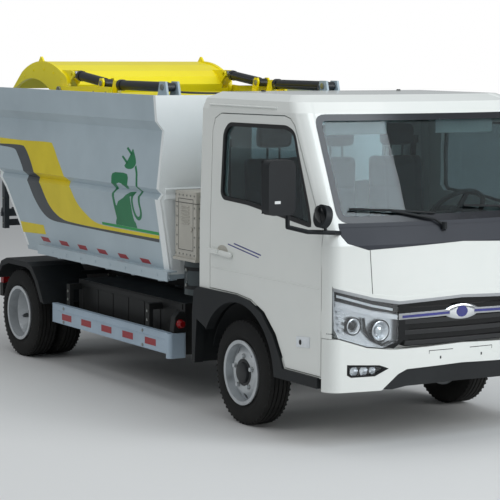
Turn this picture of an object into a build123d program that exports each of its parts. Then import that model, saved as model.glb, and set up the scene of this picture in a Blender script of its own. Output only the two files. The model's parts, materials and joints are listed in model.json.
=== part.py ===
from build123d import *
import os
from math import atan2, cos, degrees, hypot, radians, sin, tan

# Light electric garbage truck with a tipping tub, a packer on the tub's top rails and a bin lifter.
# Millimetres. +Z is up and the ground is z = 0. The truck looks along -Y and its right side is at -X.
# Every y below is measured from the front axle, rearward positive; ORIGIN_SHIFT centres the truck on y = 0.

# ---- driving dimensions ------------------------------------------------------------------------
FRONT_OVERHANG = 1095.0
WHEELBASE = 3110.0
REAR_OVERHANG = 1075.0
OVERALL_LENGTH = FRONT_OVERHANG + WHEELBASE + REAR_OVERHANG
ORIGIN_SHIFT = FRONT_OVERHANG - OVERALL_LENGTH / 2
FRONT_END = -FRONT_OVERHANG
REAR_END = WHEELBASE + REAR_OVERHANG

SEAT_GAP = 0.3          # between two pieces of one body that seat on each other
SHAFT_GAP = 0.05        # radial running fit of a shaft in its hole
MOVE_GAP = 8.0          # between pieces that pass each other

# tyres and wheels
TYRE_R = 325.0
TYRE_W = 178.0
BEAD_R = 188.0
RIM_FLANGE_R = 201.0
RIM_SHEET = 9.0
RIM_INSET = 5.5
DISC_T = 9.0
HUB_R = 62.0
SPINDLE_R = 30.0
STUD_CIRCLE_R = 101.5
STUDS = 5
FRONT_TYRE_X = 765.0    # middle of the front tyre
REAR_OUTER_X = 828.0    # middle of the outer rear tyre
DUAL_SPACING = 205.0
KINGPIN_X = 590.0
KINGPIN_R = 16.0

# ladder frame
RAIL_X = 340.0          # outer face of a rail
RAIL_W = 60.0
RAIL_TOP = 640.0
RAIL_H = 140.0
FRAME_FRONT = -860.0
FRAME_REAR = WHEELBASE + 450
SPRING_X = 400.0
SPRING_W = 60.0

# tub frame and tipping hinge
SUBFRAME_H = 70.0
SUBFRAME_FRONT = 760.0
HINGE_Y = WHEELBASE + 70
HINGE_Z = 742.0
HINGE_PIN_R = 22.0

# tub
TUB_FRONT = 945.0
TUB_FLOOR = 800.0
TUB_TOP = 2000.0
TUB_WALL = 30.0
TUB_SIDE = [(800.0, 830.0), (860.0, 832.0), (1325.0, 905.0), (1358.0, 880.0), (1392.0, 915.0),
            (1770.0, 873.0), (1832.0, 926.0), (2000.0, 940.0)]          # z, half width
TAIL_FOOT_Y = HINGE_Y - 53
TAIL_KNEE = (HINGE_Y + 210, 1250.0)
LIP_Y = REAR_END - 175
LIP_Z = 1870.0
TOP_REAR_Y = LIP_Y - 160
SIDE_RAIL_Z = (796.0, 862.0)
SIDE_RAIL_X = 893.0
SIDE_RAIL_Y = (868.0, WHEELBASE - 280)

# packer on the tub
PACKER_X = 700.0        # outer face of the blade's end plates
PACKER_PLATE = 26.0
PACKER_PIVOT = (HINGE_Y - 390, 1985.0)
BLADE_LUG = (PACKER_PIVOT[0] - 100, PACKER_PIVOT[1] + 120)
PACKER_EYE = (PACKER_PIVOT[0] - 590, 2052.0)
PUSH_EYE_Y = PACKER_EYE[0] - 150
PUSH_CLEVIS_Y = PUSH_EYE_Y - 750
PUSH_Z = 2044.0
PACKER_CYL_X = 640.0
PACKER_CYL_R = 34.0
PACKER_ROD_R = 18.0
TRACK_X = 770.0
TRACK_W = 60.0

# tipping cylinder under the tub
TIP_HEAD = (HINGE_Y - 780, 742.0)
TIP_FOOT = (TIP_HEAD[0] - 700, 560.0)
TIP_BARREL_R = 62.0
TIP_ROD_R = 38.0

# bin lifter
LIFT_PIVOT = (LIP_Y + 60, 1700.0)
LIFT_ARM_X = 560.0
LIFT_ARM_W = 40.0
LIFT_PIN_R = 24.0
COMB_Z = 985.0
LIFT_FOOT_Z = 860.0
COMB_TEETH = 14

# cab: plan sections, each z, half width, rear y, y where the flank ends, corner x, corner y, nose y
CAB_WALL = 50.0
CAB_BOTTOM = 425.0
BELT_Z = 1195.0
GLASS_FOOT_Z = 1310.0
GLASS_HEAD_Z = 1935.0
CAB_REAR = 480.0
CAB_LOW = (873.0, CAB_REAR, -905.0, 792.0, -1020.0, -1095.0)
CAB_SECTIONS = [
    (BELT_Z,) + CAB_LOW,
    (GLASS_FOOT_Z, 870.0, CAB_REAR, -850.0, 775.0, -955.0, -1042.0),
    (GLASS_HEAD_Z, 853.0, CAB_REAR, -535.0, 745.0, -635.0, -722.0),
    (1998.0, 832.0, 468.0, -490.0, 715.0, -570.0, -655.0),
    (2038.0, 760.0, 400.0, -400.0, 640.0, -470.0, -540.0),
]
DOOR_FRONT = -922.0
DOOR_REAR = 352.0
DOOR_BOTTOM = 432.0
DOOR_GAP = 6.0
DOOR_THICK = 50.0
ARCH_R = 430.0          # open wheel arch of the front wheel
FLARE_PROUD = 16.0
FASCIA_DEPTH = 60.0     # depth of bumper, lamps and grille
ROOF_DROP = 36.0        # thickness of the roof with its lining
CAB_FLOOR = 860.0
WELL_FLOOR = 600.0
CAB_UNDERSIDE = 765.0


# ---- trim, openings and outlines ----------------------------------------------------------------
FRONT_SPRING = (0.0, 520.0, 340.0 + SEAT_GAP, 3, 12.0)
REAR_SPRING = (WHEELBASE, 430.0, TYRE_R + 66 + SEAT_GAP, 5, 12.0)
EYE_BORE_R = 16.0
EYE_Y = FRAME_FRONT - 50
EYE_Z = RAIL_TOP - RAIL_H - 60
EYE_PLATE = 20.0
TIP_EYE_W = 60.0
BLADE_Y = PACKER_PIVOT[0]
BLADE_ARC = [(BLADE_Y - 44, 1965.0), (BLADE_Y - 65, 2030.0), (BLADE_Y + 21, 2115.0)]      # front nose
BLADE_CROWN = [(BLADE_Y + 21, 2115.0), (BLADE_Y + 396, 2197.0), (BLADE_Y + 717, 2112.0)]  # over the top
BLADE_TAIL = (BLADE_Y + 886, 1985.0)
BLADE_ARCH = [(BLADE_Y + 195, 1965.0), (BLADE_Y + 500, 2066.0), (BLADE_Y + 810, 2000.0)]  # open arch
BLADE_SKIN = [(BLADE_Y - 44, 1970.0), (BLADE_Y - 63, 2030.0), (BLADE_Y - 30, 2088.0), (BLADE_Y + 50, 2128.0),
              (BLADE_Y + 200, 2170.0), (BLADE_Y + 396, 2195.0), (BLADE_Y + 570, 2170.0), (BLADE_Y + 717, 2110.0),
              (BLADE_Y + 886, 1985.0)]
SKIN_T = 14.0
SCREEN = [(-772.0, 1345.0), (-742.0, 1905.0), (742.0, 1905.0), (772.0, 1345.0)]      # windscreen, x and z
DOOR_WINDOW = [(-800.0, 1290.0), (-770.0, 1400.0), (-640.0, 1690.0), (-590.0, 1822.0), (-500.0, 1856.0),
               (150.0, 1850.0), (212.0, 1790.0), (226.0, 1420.0), (190.0, 1385.0), (-100.0, 1372.0)]
REAR_GLASS = [(-520.0, 1450.0), (-520.0, 1840.0), (520.0, 1840.0), (520.0, 1450.0)]
ARCH_TOP_Z = 812.0
FRONT_ARCH_Y = -530.0
LAMP_TOP = [(-845.0, 960.0), (-620.0, 905.0), (-400.0, 880.0)]
LAMP_BOTTOM = [(-400.0, 640.0), (-470.0, 592.0), (-640.0, 612.0), (-815.0, 668.0)]
GRILLE_TOP_MID = 905.0
BUMPER_TOP = [(-900.0, 660.0), (-815.0, 660.0), (-640.0, 604.0), (-470.0, 584.0), (-250.0, 588.0), (0.0, 597.0)]
BUMPER_LOW = [(0.0, 478.0), (-380.0, 466.0), (-440.0, 440.0), (-545.0, 352.0), (-900.0, 352.0)]
FOG_LAMP = [(-765.0, 512.0), (-765.0, 452.0), (-740.0, 437.0), (-590.0, 437.0), (-500.0, 478.0), (-560.0, 500.0)]
TUNNEL_X = 510.0                # half width of the raised floor over the frame
TUNNEL_TOP = RAIL_TOP + 40      # its underside
HINGE_HEIGHTS = (760.0, 1130.0)
HINGE_LENGTH = 120.0
DOOR_PIN_R = DOOR_GAP / 2 - SEAT_GAP
COWL = [(-792.0, 1252.0), (-790.0, 1300.0), (790.0, 1300.0), (792.0, 1252.0), (765.0, 1208.0), (640.0, 1168.0),
        (0.0, 1196.0), (-640.0, 1168.0), (-765.0, 1208.0)]
COWL_DEPTH = 24.0
FLAP_REAR = CAB_REAR + 68
FLARE = [(DOOR_FRONT + 20, 366.0), (DOOR_FRONT + 20, DOOR_BOTTOM - 4), (FRONT_ARCH_Y + 4, DOOR_BOTTOM - 4),
         (-491.0, 498.0), (-414.0, 614.0), (-286.0, 728.0), (-138.0, 788.0), (22.0, 806.0), (CAB_REAR, 806.0),
         (CAB_REAR + 48, 780.0), (FLAP_REAR, 640.0), (FLAP_REAR, 316.0), (CAB_REAR + 34, 316.0),
         (CAB_REAR + 10, 600.0), (380.0, 560.0), (300.0, 366.0)]
GRILLE_SLOTS = [(628.0, 668.0), (690.0, 730.0), (752.0, 778.0), (822.0, 862.0)]
LAMP_SIDE = [(-838.0, 720.0)]
STEER_X = 400.0
COLUMN_TOP = (-500.0, 1290.0)
MIRROR_X = 1165.0
MIRROR_Y = -905.0
WIPERS = ((-120.0, -700.0), (640.0, 60.0))      # x of each pivot and of its blade's tip
WIPER_POST_R = 17.0
GUARD_X = 880.0
GUARD_Y = (862.0, WHEELBASE - 500)
GUARD_Z = (318.0, 456.0)
GUARD_RETURN = 136.0      # width of the end cap turned inward
GUARD_POSTS = (1227.0, GUARD_Y[1] - 185)


# ---- helpers -----------------------------------------------------------------------------------
def side_face(points, x):
    """Closed outline of (y, z) points on the plane at x."""
    return make_face(Polyline([(x, y, z) for y, z in points], close=True))


def side_prism(points, x0, x1):
    """Prism of a (y, z) outline from x0 to x1."""
    return extrude(side_face(points, x0), amount=x1 - x0, dir=(1, 0, 0))


def front_prism(points, y0, y1):
    """Prism of an (x, z) outline from y0 to y1."""
    face = make_face(Polyline([(x, y0, z) for x, z in points], close=True))
    return extrude(face, amount=y1 - y0, dir=(0, 1, 0))


def block(x0, x1, y0, y1, z0, z1):
    """Box between two corners."""
    size = Box(x1 - x0, y1 - y0, z1 - z0)
    return Pos((x0 + x1) / 2, (y0 + y1) / 2, (z0 + z1) / 2) * size


def bar_x(radius, x0, x1, y, z):
    """Round bar along X."""
    bar = Cylinder(radius, x1 - x0, align=(Align.CENTER, Align.CENTER, Align.MIN))
    return Pos(x0, y, z) * Rot(0, 90, 0) * bar


def bar_yz(radius, start, end, x):
    """Round bar in a plane of constant x between two (y, z) points."""
    length = hypot(end[0] - start[0], end[1] - start[1])
    pitch = degrees(atan2(end[1] - start[1], end[0] - start[0]))
    bar = Cylinder(radius, length, align=(Align.CENTER, Align.CENTER, Align.MIN))
    return Pos(x, start[0], start[1]) * Rot(pitch - 90, 0, 0) * bar


def between(start, end, share):
    """Point on the way from start to end."""
    return (start[0] + (end[0] - start[0]) * share, start[1] + (end[1] - start[1]) * share)


def along(start, end, distance):
    """Point at a distance from start towards end."""
    return between(start, end, distance / hypot(end[0] - start[0], end[1] - start[1]))


def pair(shape):
    """A piece and its mirror image on the other side of the truck."""
    return Compound(children=[*shape.solids(), *mirror(shape, about=Plane.YZ).solids()])


def group(*shapes):
    """Pieces that share a node without touching."""
    return Compound(children=[solid for shape in shapes for solid in shape.solids()])


def save(node, shape):
    """Write one node, shifted so that the truck is centred on the origin."""
    placed = Pos(0, ORIGIN_SHIFT, 0) * Compound(children=list(shape.solids()))
    export_step(placed, f"parts/{node}.step")


# ---- wheels ------------------------------------------------------------------------------------
def tyre(x_mid):
    """Tyre with rounded shoulders, spun about its own axis along X."""
    half = TYRE_W / 2
    shoulder = 26.0
    bulge = 8.0
    tread = half - 18.0
    crown = TYRE_R - 4.0
    with BuildPart() as part:
        with BuildSketch(Plane.XZ):
            with BuildLine():
                Line((-tread, crown), (tread, crown))
                ThreePointArc((tread, crown), (half - 6, crown - 9), (half, crown - shoulder))
                ThreePointArc((half, crown - shoulder), (half + bulge, 250), (half - 14, BEAD_R))
                Line((half - 14, BEAD_R), (-half + 14, BEAD_R))
                ThreePointArc((-half + 14, BEAD_R), (-half - bulge, 250), (-half, crown - shoulder))
                ThreePointArc((-half, crown - shoulder), (-half + 6, crown - 9), (-tread, crown))
            make_face()
        revolve(axis=Axis.X)
    ring = part.part
    ribs = 3
    groove = 10.0
    rib_w = (2 * tread - (ribs - 1) * groove) / ribs
    for index in range(ribs):
        start = -tread + index * (rib_w + groove)
        rib = bar_x(TYRE_R, start, start + rib_w, 0, 0) - bar_x(crown - 5, start, start + rib_w, 0, 0)
        ring = ring + rib
    return Pos(x_mid, 0, TYRE_R) * ring


def rim(x_mid, face_x, side):
    """Steel wheel: barrel with two flanges and a pressed disc whose hub face is at face_x."""
    half = TYRE_W / 2 - RIM_INSET
    barrel_r = BEAD_R - SEAT_GAP
    barrel = bar_x(barrel_r, x_mid - half, x_mid + half, 0, 0)
    for end in (-1, 1):
        x_flange = x_mid + end * half
        lip = bar_x(RIM_FLANGE_R, min(x_flange, x_flange + end * 9), max(x_flange, x_flange + end * 9), 0, 0)
        barrel = barrel + lip
    bore = bar_x(barrel_r - RIM_SHEET, x_mid - half - 20, x_mid + half + 20, 0, 0)
    barrel = barrel - bore
    root_x = x_mid + side * 20
    disc_r = barrel_r - RIM_SHEET / 2
    with BuildPart() as disc:
        with BuildSketch(Plane.XZ):
            with BuildLine():
                Polyline((root_x, disc_r), (root_x + side * DISC_T, disc_r), (face_x + side * DISC_T, 126),
                         (face_x + side * DISC_T, HUB_R), (face_x, HUB_R), (face_x, 126), (root_x, disc_r))
            make_face()
        revolve(axis=Axis.X)
    dish = disc.part
    hand_holes = []
    for index in range(STUDS):
        angle = radians(90 + 36 + 72 * index)
        y_hole = 148 * cos(angle)
        z_hole = 148 * sin(angle)
        hand_holes.append(bar_x(17, min(root_x, face_x) - 60, max(root_x, face_x) + 60, y_hole, z_hole))
    for hole in hand_holes:
        dish = dish - hole
    return Pos(0, 0, TYRE_R) * (barrel + dish)


def hub(x_inner, x_outer, cap_x, side):
    """Hub barrel with a bore for the spindle and a domed cap."""
    low, high = min(x_inner, x_outer), max(x_inner, x_outer)
    body = bar_x(HUB_R + 1, low, high, 0, 0)
    cap = bar_x(44, min(x_outer, cap_x), max(x_outer, cap_x), 0, 0)
    bore_low = x_inner if side > 0 else x_outer + 40
    bore_high = x_outer - 40 if side > 0 else x_inner
    bore = bar_x(SPINDLE_R + SHAFT_GAP, bore_low - 1, bore_high + 1, 0, 0)
    return Pos(0, 0, TYRE_R) * ((body + cap) - bore)


def stud_ring(face_x, side):
    """Wheel nuts in a circle on the disc."""
    nuts = []
    for index in range(STUDS):
        angle = radians(90 + 72 * index)
        centre = (STUD_CIRCLE_R * cos(angle), STUD_CIRCLE_R * sin(angle))
        low = face_x if side > 0 else face_x - 22
        nuts.append(bar_x(13, low, low + 22, centre[0], TYRE_R + centre[1]))
    return nuts


def front_wheel(side):
    """Front tyre and rim, with the hub, on the side given by the sign of x."""
    x_mid = side * FRONT_TYRE_X
    face_x = side * (FRONT_TYRE_X + 58)
    wheel = rim(x_mid, face_x, side)
    wheel = wheel + hub(side * (FRONT_TYRE_X - 30), face_x + side * 10, face_x + side * 30, side)
    for nut in stud_ring(face_x + side * 6, side):
        wheel = wheel + nut
    return tyre(x_mid), wheel


def rear_wheel(side):
    """Twin rear tyres and their rims, dished inward, on one hub."""
    inner_x = REAR_OUTER_X - DUAL_SPACING
    face_x = side * (inner_x + DUAL_SPACING / 2 + 4)
    outer = rim(side * REAR_OUTER_X, face_x, side)
    inner = rim(side * inner_x, face_x - side * 14, -side)
    spacer_low = min(face_x - side * 16, face_x + side * 8)
    spacer = bar_x(122, spacer_low, spacer_low + 24, 0, TYRE_R)
    spacer = spacer - bar_x(HUB_R, spacer_low, spacer_low + 24, 0, TYRE_R)
    wheel = outer + inner + spacer + hub(side * (inner_x + 20), face_x + side * 50, face_x + side * 74, side)
    for nut in stud_ring(face_x + side * 6, side):
        wheel = wheel + nut
    tyres = group(tyre(side * REAR_OUTER_X), tyre(side * inner_x))
    return Pos(0, WHEELBASE, 0) * tyres, Pos(0, WHEELBASE, 0) * wheel


# ---- axles and frame ---------------------------------------------------------------------------
def front_axle():
    """Dropped beam between the kingpins."""
    eye_z = TYRE_R
    half_eye = 45.0
    beam_x = KINGPIN_X - 60
    beam = block(-beam_x, beam_x, -35, 35, 262, 322)
    for side in (-1, 1):
        ends = sorted((side * (beam_x - 60), side * KINGPIN_X))
        rise = block(ends[0], ends[1], -30, 30, 285, eye_z + 30)
        boss = Pos(side * KINGPIN_X, 0, eye_z) * Cylinder(38, 2 * half_eye)
        beam = beam + rise + boss
    for side in (-1, 1):
        beam = beam - Pos(side * KINGPIN_X, 0, eye_z) * Cylinder(KINGPIN_R + SHAFT_GAP, 4 * half_eye)
        pad = block(side * SPRING_X - 45, side * SPRING_X + 45, -60, 60, 318, 340)
        beam = beam + pad
    return beam


def knuckle(side):
    """Steering knuckle: fork round the axle's boss, kingpin, spindle and steering arm."""
    x = side * KINGPIN_X
    boss_half = 45.0
    arm_gap = MOVE_GAP
    fork = None
    for end in (-1, 1):
        z_low = TYRE_R + end * (boss_half + arm_gap + 12) - 12
        cheek = block(x - 40, x + 40, -36, 36, z_low, z_low + 24)
        fork = cheek if fork is None else fork + cheek
    back_low = min(x + side * (38 + arm_gap), x + side * 72)
    back_z = boss_half + arm_gap + 24
    back = block(back_low, back_low + 34 - arm_gap, -36, 36, TYRE_R - back_z, TYRE_R + back_z)
    tie_low = min(x + side * 38, x + side * 60)
    web_top = block(tie_low, tie_low + 22, -36, 36, TYRE_R + back_z - 24, TYRE_R + back_z)
    web_low = block(tie_low, tie_low + 22, -36, 36, TYRE_R - back_z, TYRE_R - back_z + 24)
    pin = Pos(x, 0, TYRE_R) * Cylinder(KINGPIN_R, 2 * back_z)
    spindle_end = FRONT_TYRE_X + 58 + 10 - 45
    low, high = sorted((x + side * 60, side * spindle_end))
    spindle = bar_x(SPINDLE_R, low, high, 0, TYRE_R)
    collar_low, collar_high = sorted((x + side * 60, side * (FRONT_TYRE_X - 30 - 4)))
    collar = bar_x(48, collar_low, collar_high, 0, TYRE_R)
    arm = block(x - 16, x + 16, 30, 170, TYRE_R - back_z, TYRE_R - back_z + 24)
    return fork + back + web_top + web_low + pin + spindle + collar + arm


def rear_axle():
    """Driven axle: tube, gearcase and the electric motor in front of it."""
    y = WHEELBASE
    tube_x = REAR_OUTER_X - DUAL_SPACING + 12
    tube = bar_x(52, -tube_x, tube_x, y, TYRE_R)
    case = bar_x(135, -120, 120, y, TYRE_R)
    motor = bar_x(120, -175, 175, y - 250, TYRE_R + 20)
    neck = block(-110, 110, y - 200, y - 60, TYRE_R - 70, TYRE_R + 80)
    axle = tube + case + motor + neck
    for side in (-1, 1):
        spindle_end = REAR_OUTER_X - DUAL_SPACING / 2 + 4 + 5
        low, high = sorted((side * tube_x, side * spindle_end))
        axle = axle + bar_x(SPINDLE_R, low, high, y, TYRE_R)
        pad = block(side * SPRING_X - 45, side * SPRING_X + 45, y - 60, y + 60, TYRE_R + 30, TYRE_R + 66)
        axle = axle + pad
    return axle


def spring(y_mid, half, pad_z, leaves, eye_drop):
    """One leaf pack with rolled eyes; leaves shorten downwards."""
    pack = None
    for index in range(leaves):
        reach = half * (1 - 0.17 * index)
        z = pad_z + 10 * (leaves - 1 - index)
        leaf = block(SPRING_X - SPRING_W / 2, SPRING_X + SPRING_W / 2, y_mid - reach, y_mid + reach, z, z + 10)
        pack = leaf if pack is None else pack + leaf
    eye_z = pad_z + 10 * leaves + eye_drop
    for end in (-1, 1):
        eye = bar_x(24, SPRING_X - SPRING_W / 2, SPRING_X + SPRING_W / 2, y_mid + end * half, eye_z)
        eye = eye - bar_x(10, SPRING_X - SPRING_W, SPRING_X + SPRING_W, y_mid + end * half, eye_z)
        pack = pack + eye
    return pack, eye_z


def leaf_springs():
    """Four leaf packs, front and rear, left and right."""
    front = pair(spring(*FRONT_SPRING)[0])
    rear = pair(spring(*REAR_SPRING)[0])
    return group(front, rear)


def spring_hangers():
    """Brackets under the rails that hold the springs' eyes by a pin."""
    hangers = []
    for y_mid, half, pad_z, leaves, eye_drop in (FRONT_SPRING, REAR_SPRING):
        eye_z = pad_z + 10 * leaves + eye_drop
        for end in (-1, 1):
            y = y_mid + end * half
            plate = block(RAIL_X, RAIL_X + 24, y - 34, y + 34, eye_z - 34, RAIL_TOP - 20)
            plate = plate + bar_x(10 - SHAFT_GAP, RAIL_X, SPRING_X + SPRING_W / 2 + 10, y, eye_z)
            hangers.append(plate)
    return hangers


def chassis_frame():
    """Ladder frame: two box rails, cross members, spring hangers and the front recovery eyes."""
    rails = None
    for side in (-1, 1):
        low, high = sorted((side * RAIL_X, side * (RAIL_X - RAIL_W)))
        rail = block(low, high, FRAME_FRONT, FRAME_REAR, RAIL_TOP - RAIL_H, RAIL_TOP)
        for hanger in spring_hangers():
            piece = hanger if side > 0 else mirror(hanger, about=Plane.YZ)
            rail = rail + piece
        rails = rail if rails is None else rails + rail
    inner = RAIL_X - RAIL_W
    for y in (FRAME_FRONT + 40, 560.0, 1150.0, TIP_FOOT[0] - 130, 2560.0, FRAME_REAR - 50):
        rails = rails + block(-inner, inner, y - 30, y + 30, RAIL_TOP - RAIL_H + 15, RAIL_TOP - 15)
    rails = rails + tip_foot_ears()
    for side in (-1, 1):
        rails = rails + recovery_eye(side * (RAIL_X - RAIL_W / 2))
    return rails


def recovery_eye(x):
    """Flat lug with an upright bore for a towing pin, on a hanger under the front end of a rail."""
    low, high = x - RAIL_W / 2, x + RAIL_W / 2
    hanger = side_prism([(FRAME_FRONT, RAIL_TOP - RAIL_H + 40), (FRAME_FRONT + 100, RAIL_TOP - RAIL_H),
                         (FRAME_FRONT + 100, RAIL_TOP - RAIL_H - 30), (FRAME_FRONT + 30, EYE_Z - EYE_PLATE / 2),
                         (FRAME_FRONT, EYE_Z - EYE_PLATE / 2)], low + 20, high - 20)
    plate = block(low, high, EYE_Y - RAIL_W / 2, FRAME_FRONT + 30, EYE_Z - EYE_PLATE / 2, EYE_Z + EYE_PLATE / 2)
    plate = fillet(plate.edges().filter_by(Axis.Z).group_by(Axis.Y)[0], RAIL_W / 2 - 2)
    return plate + hanger - Pos(x, EYE_Y, EYE_Z) * Cylinder(EYE_BORE_R, 2 * EYE_PLATE)


def tip_foot_ears():
    """Cross member ears that hold the tipping cylinder's foot, with its pin."""
    ears = None
    y, z = TIP_FOOT
    for side in (-1, 1):
        low, high = sorted((side * (TIP_EYE_W / 2 + 5), side * (TIP_EYE_W / 2 + 27)))
        ear = side_prism([(y - 130, z - 35), (y - 130, z + 55), (y + 34, z + 30), (y + 34, z - 35)], low, high)
        ears = ear if ears is None else ears + ear
    pin = bar_x(20, -TIP_EYE_W / 2 - 27, TIP_EYE_W / 2 + 27, y, z)
    return ears + pin


def tub_subframe():
    """Tub frame on the rails: two long sills, cross ties and the rear hinge ears with their pins."""
    frame = None
    z0 = RAIL_TOP + SEAT_GAP
    z1 = z0 + SUBFRAME_H
    for side in (-1, 1):
        low, high = sorted((side * RAIL_X, side * (RAIL_X - RAIL_W)))
        sill = block(low, high, SUBFRAME_FRONT, FRAME_REAR, z0, z1)
        frame = sill if frame is None else frame + sill
    inner = RAIL_X - RAIL_W
    for y in (SUBFRAME_FRONT + 30, 1500.0, HINGE_Y, FRAME_REAR - 30):
        frame = frame + block(-inner, inner, y - 30, y + 30, z0, z0 + SUBFRAME_H - 25)
    for side in (-1, 1):
        low, high = sorted((side * RAIL_X, side * (RAIL_X - 26)))
        ear = side_prism([(HINGE_Y - 60, z1 - 20), (HINGE_Y - 34, HINGE_Z + 34), (HINGE_Y + 34, HINGE_Z + 34),
                          (HINGE_Y + 60, z1 - 20)], low, high)
        pin_low, pin_high = sorted((side * (RAIL_X - 26), side * (RAIL_X + 60)))
        frame = frame + ear + bar_x(HINGE_PIN_R, pin_low, pin_high, HINGE_Y, HINGE_Z)
    return frame


def battery_pack():
    """Traction battery: one plain block hung on each rail."""
    low = RAIL_X + SEAT_GAP
    return pair(block(low, low + 400, 900, WHEELBASE - 650, 300, 640))


# ---- tub ---------------------------------------------------------------------------------------
def tub_section(inset):
    """Cross outline of the tub as (x, z), right side then left side."""
    right = [(-(half - inset), z) for z, half in TUB_SIDE]
    left = [(half - inset, z) for z, half in reversed(TUB_SIDE)]
    return right + left


def tub_profile(inset, top):
    """Side outline of the tub as (y, z)."""
    knee = (TAIL_KNEE[0] - inset * 1.0, TAIL_KNEE[1] + inset * 0.5)
    return [(TUB_FRONT + inset, TUB_FLOOR + inset), (TAIL_FOOT_Y - inset * 0.55, TUB_FLOOR + inset), knee,
            (LIP_Y - inset * 0.8, LIP_Z + inset * 0.6), (LIP_Y - inset * 0.8, LIP_Z + 40), (TOP_REAR_Y, top),
            (TUB_FRONT + inset, top)]


def tub_body():
    """Open tub: folded side walls, slanted tail with a flared lip, rails, ledges and brackets."""
    length = LIP_Y + 10
    outer = front_prism(tub_section(0), TUB_FRONT, length) & side_prism(tub_profile(0, TUB_TOP), -1000, 1000)
    reach = [(x, z if z < TUB_TOP else z + 60) for x, z in tub_section(TUB_WALL)]
    hollow = front_prism(reach, TUB_FRONT, length)
    hollow = hollow & side_prism(tub_profile(TUB_WALL, TUB_TOP + 60), -1000, 1000)
    return outer - hollow


def tub_track(side):
    """Top rail along the inner face of a side wall, on which the packer slides."""
    low, high = sorted((side * TRACK_X, side * (TRACK_X + TRACK_W)))
    rail = block(low, high, TUB_FRONT + TUB_WALL - 2, 3640, TUB_TOP - 150, TUB_TOP - 110)
    wall_low, wall_high = sorted((side * (TRACK_X + TRACK_W - 5), side * (940 - TUB_WALL / 2)))
    return rail + block(wall_low, wall_high, TUB_FRONT + TUB_WALL - 2, 3640, TUB_TOP - 150, TUB_TOP - 130)


def tub_front_deck():
    """Plate across the tub's front top that carries the push cylinders' clevises."""
    deck = block(-840, 840, TUB_FRONT + 2, PUSH_CLEVIS_Y + 110, TUB_TOP - 60, TUB_TOP - 30)
    for side in (-1, 1):
        x = side * PACKER_CYL_X
        for cheek in (-1, 1):
            low = x + cheek * (PACKER_CYL_R + 12) - 8
            outline = [(PUSH_CLEVIS_Y - 75, TUB_TOP - 40), (PUSH_CLEVIS_Y - 40, PUSH_Z + 38),
                       (PUSH_CLEVIS_Y + 40, PUSH_Z + 38), (PUSH_CLEVIS_Y + 75, TUB_TOP - 40)]
            deck = deck + side_prism(outline, low, low + 16)
        deck = deck + bar_x(16, x - PACKER_CYL_R - 20, x + PACKER_CYL_R + 20, PUSH_CLEVIS_Y, PUSH_Z)
    return deck


def side_rail(side):
    """Flanged sill along the tub's lower edge."""
    z0, z1 = SIDE_RAIL_Z
    low, high = sorted((side * 820, side * SIDE_RAIL_X))
    lip_low, lip_high = sorted((side * (SIDE_RAIL_X - 8), side * SIDE_RAIL_X))
    rail = block(low, high, SIDE_RAIL_Y[0], SIDE_RAIL_Y[1], z1 - 8, z1)
    return rail + block(lip_low, lip_high, SIDE_RAIL_Y[0], SIDE_RAIL_Y[1], z0, z1)


def tub_hinge(side):
    """Hinge knuckle under the tub's tail, round the subframe's pin."""
    low, high = sorted((side * (RAIL_X + MOVE_GAP), side * (RAIL_X + 54)))
    outline = [(HINGE_Y - 110, TUB_FLOOR + 5), (HINGE_Y - 40, HINGE_Z - 20), (HINGE_Y - 20, HINGE_Z - 40),
               (HINGE_Y + 20, HINGE_Z - 40), (HINGE_Y + 40, HINGE_Z - 20), (HINGE_Y + 40, TUB_FLOOR + 88),
               (HINGE_Y - 110, TUB_FLOOR + 20)]
    ear = side_prism(outline, low, high)
    return ear - bar_x(HINGE_PIN_R + SHAFT_GAP, low - 1, high + 1, HINGE_Y, HINGE_Z)


def tub_head_ears():
    """Ears under the floor for the tipping rod's eye."""
    ears = None
    y, z = TIP_HEAD
    for side in (-1, 1):
        low, high = sorted((side * (TIP_EYE_W / 2 + MOVE_GAP), side * (TIP_EYE_W / 2 + MOVE_GAP + 20)))
        ear = side_prism([(y - 60, TUB_FLOOR + 5), (y - 34, z - 34), (y + 34, z - 34), (y + 60, TUB_FLOOR + 5)],
                         low, high)
        ears = ear if ears is None else ears + ear
    return ears - bar_x(20, -100, 100, y, z)


def lifter_ears():
    """Ears behind the tail's lip with the shaft on which the bin lifter turns."""
    y, z = LIFT_PIVOT
    ears = None
    for side in (-1, 1):
        low, high = sorted((side * (LIFT_ARM_X + LIFT_ARM_W / 2 + MOVE_GAP),
                            side * (LIFT_ARM_X + LIFT_ARM_W / 2 + 34)))
        ear = side_prism([(y - 230, z - 120), (y - 230, z + 45), (y - 100, z + 150), (y + 10, z + 45),
                          (y + 45, z), (y + 10, z - 45)], low, high)
        ears = ear if ears is None else ears + ear
    reach = LIFT_ARM_X + LIFT_ARM_W / 2 + 34
    return ears + bar_x(LIFT_PIN_R, -reach, reach, y, z)


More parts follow.
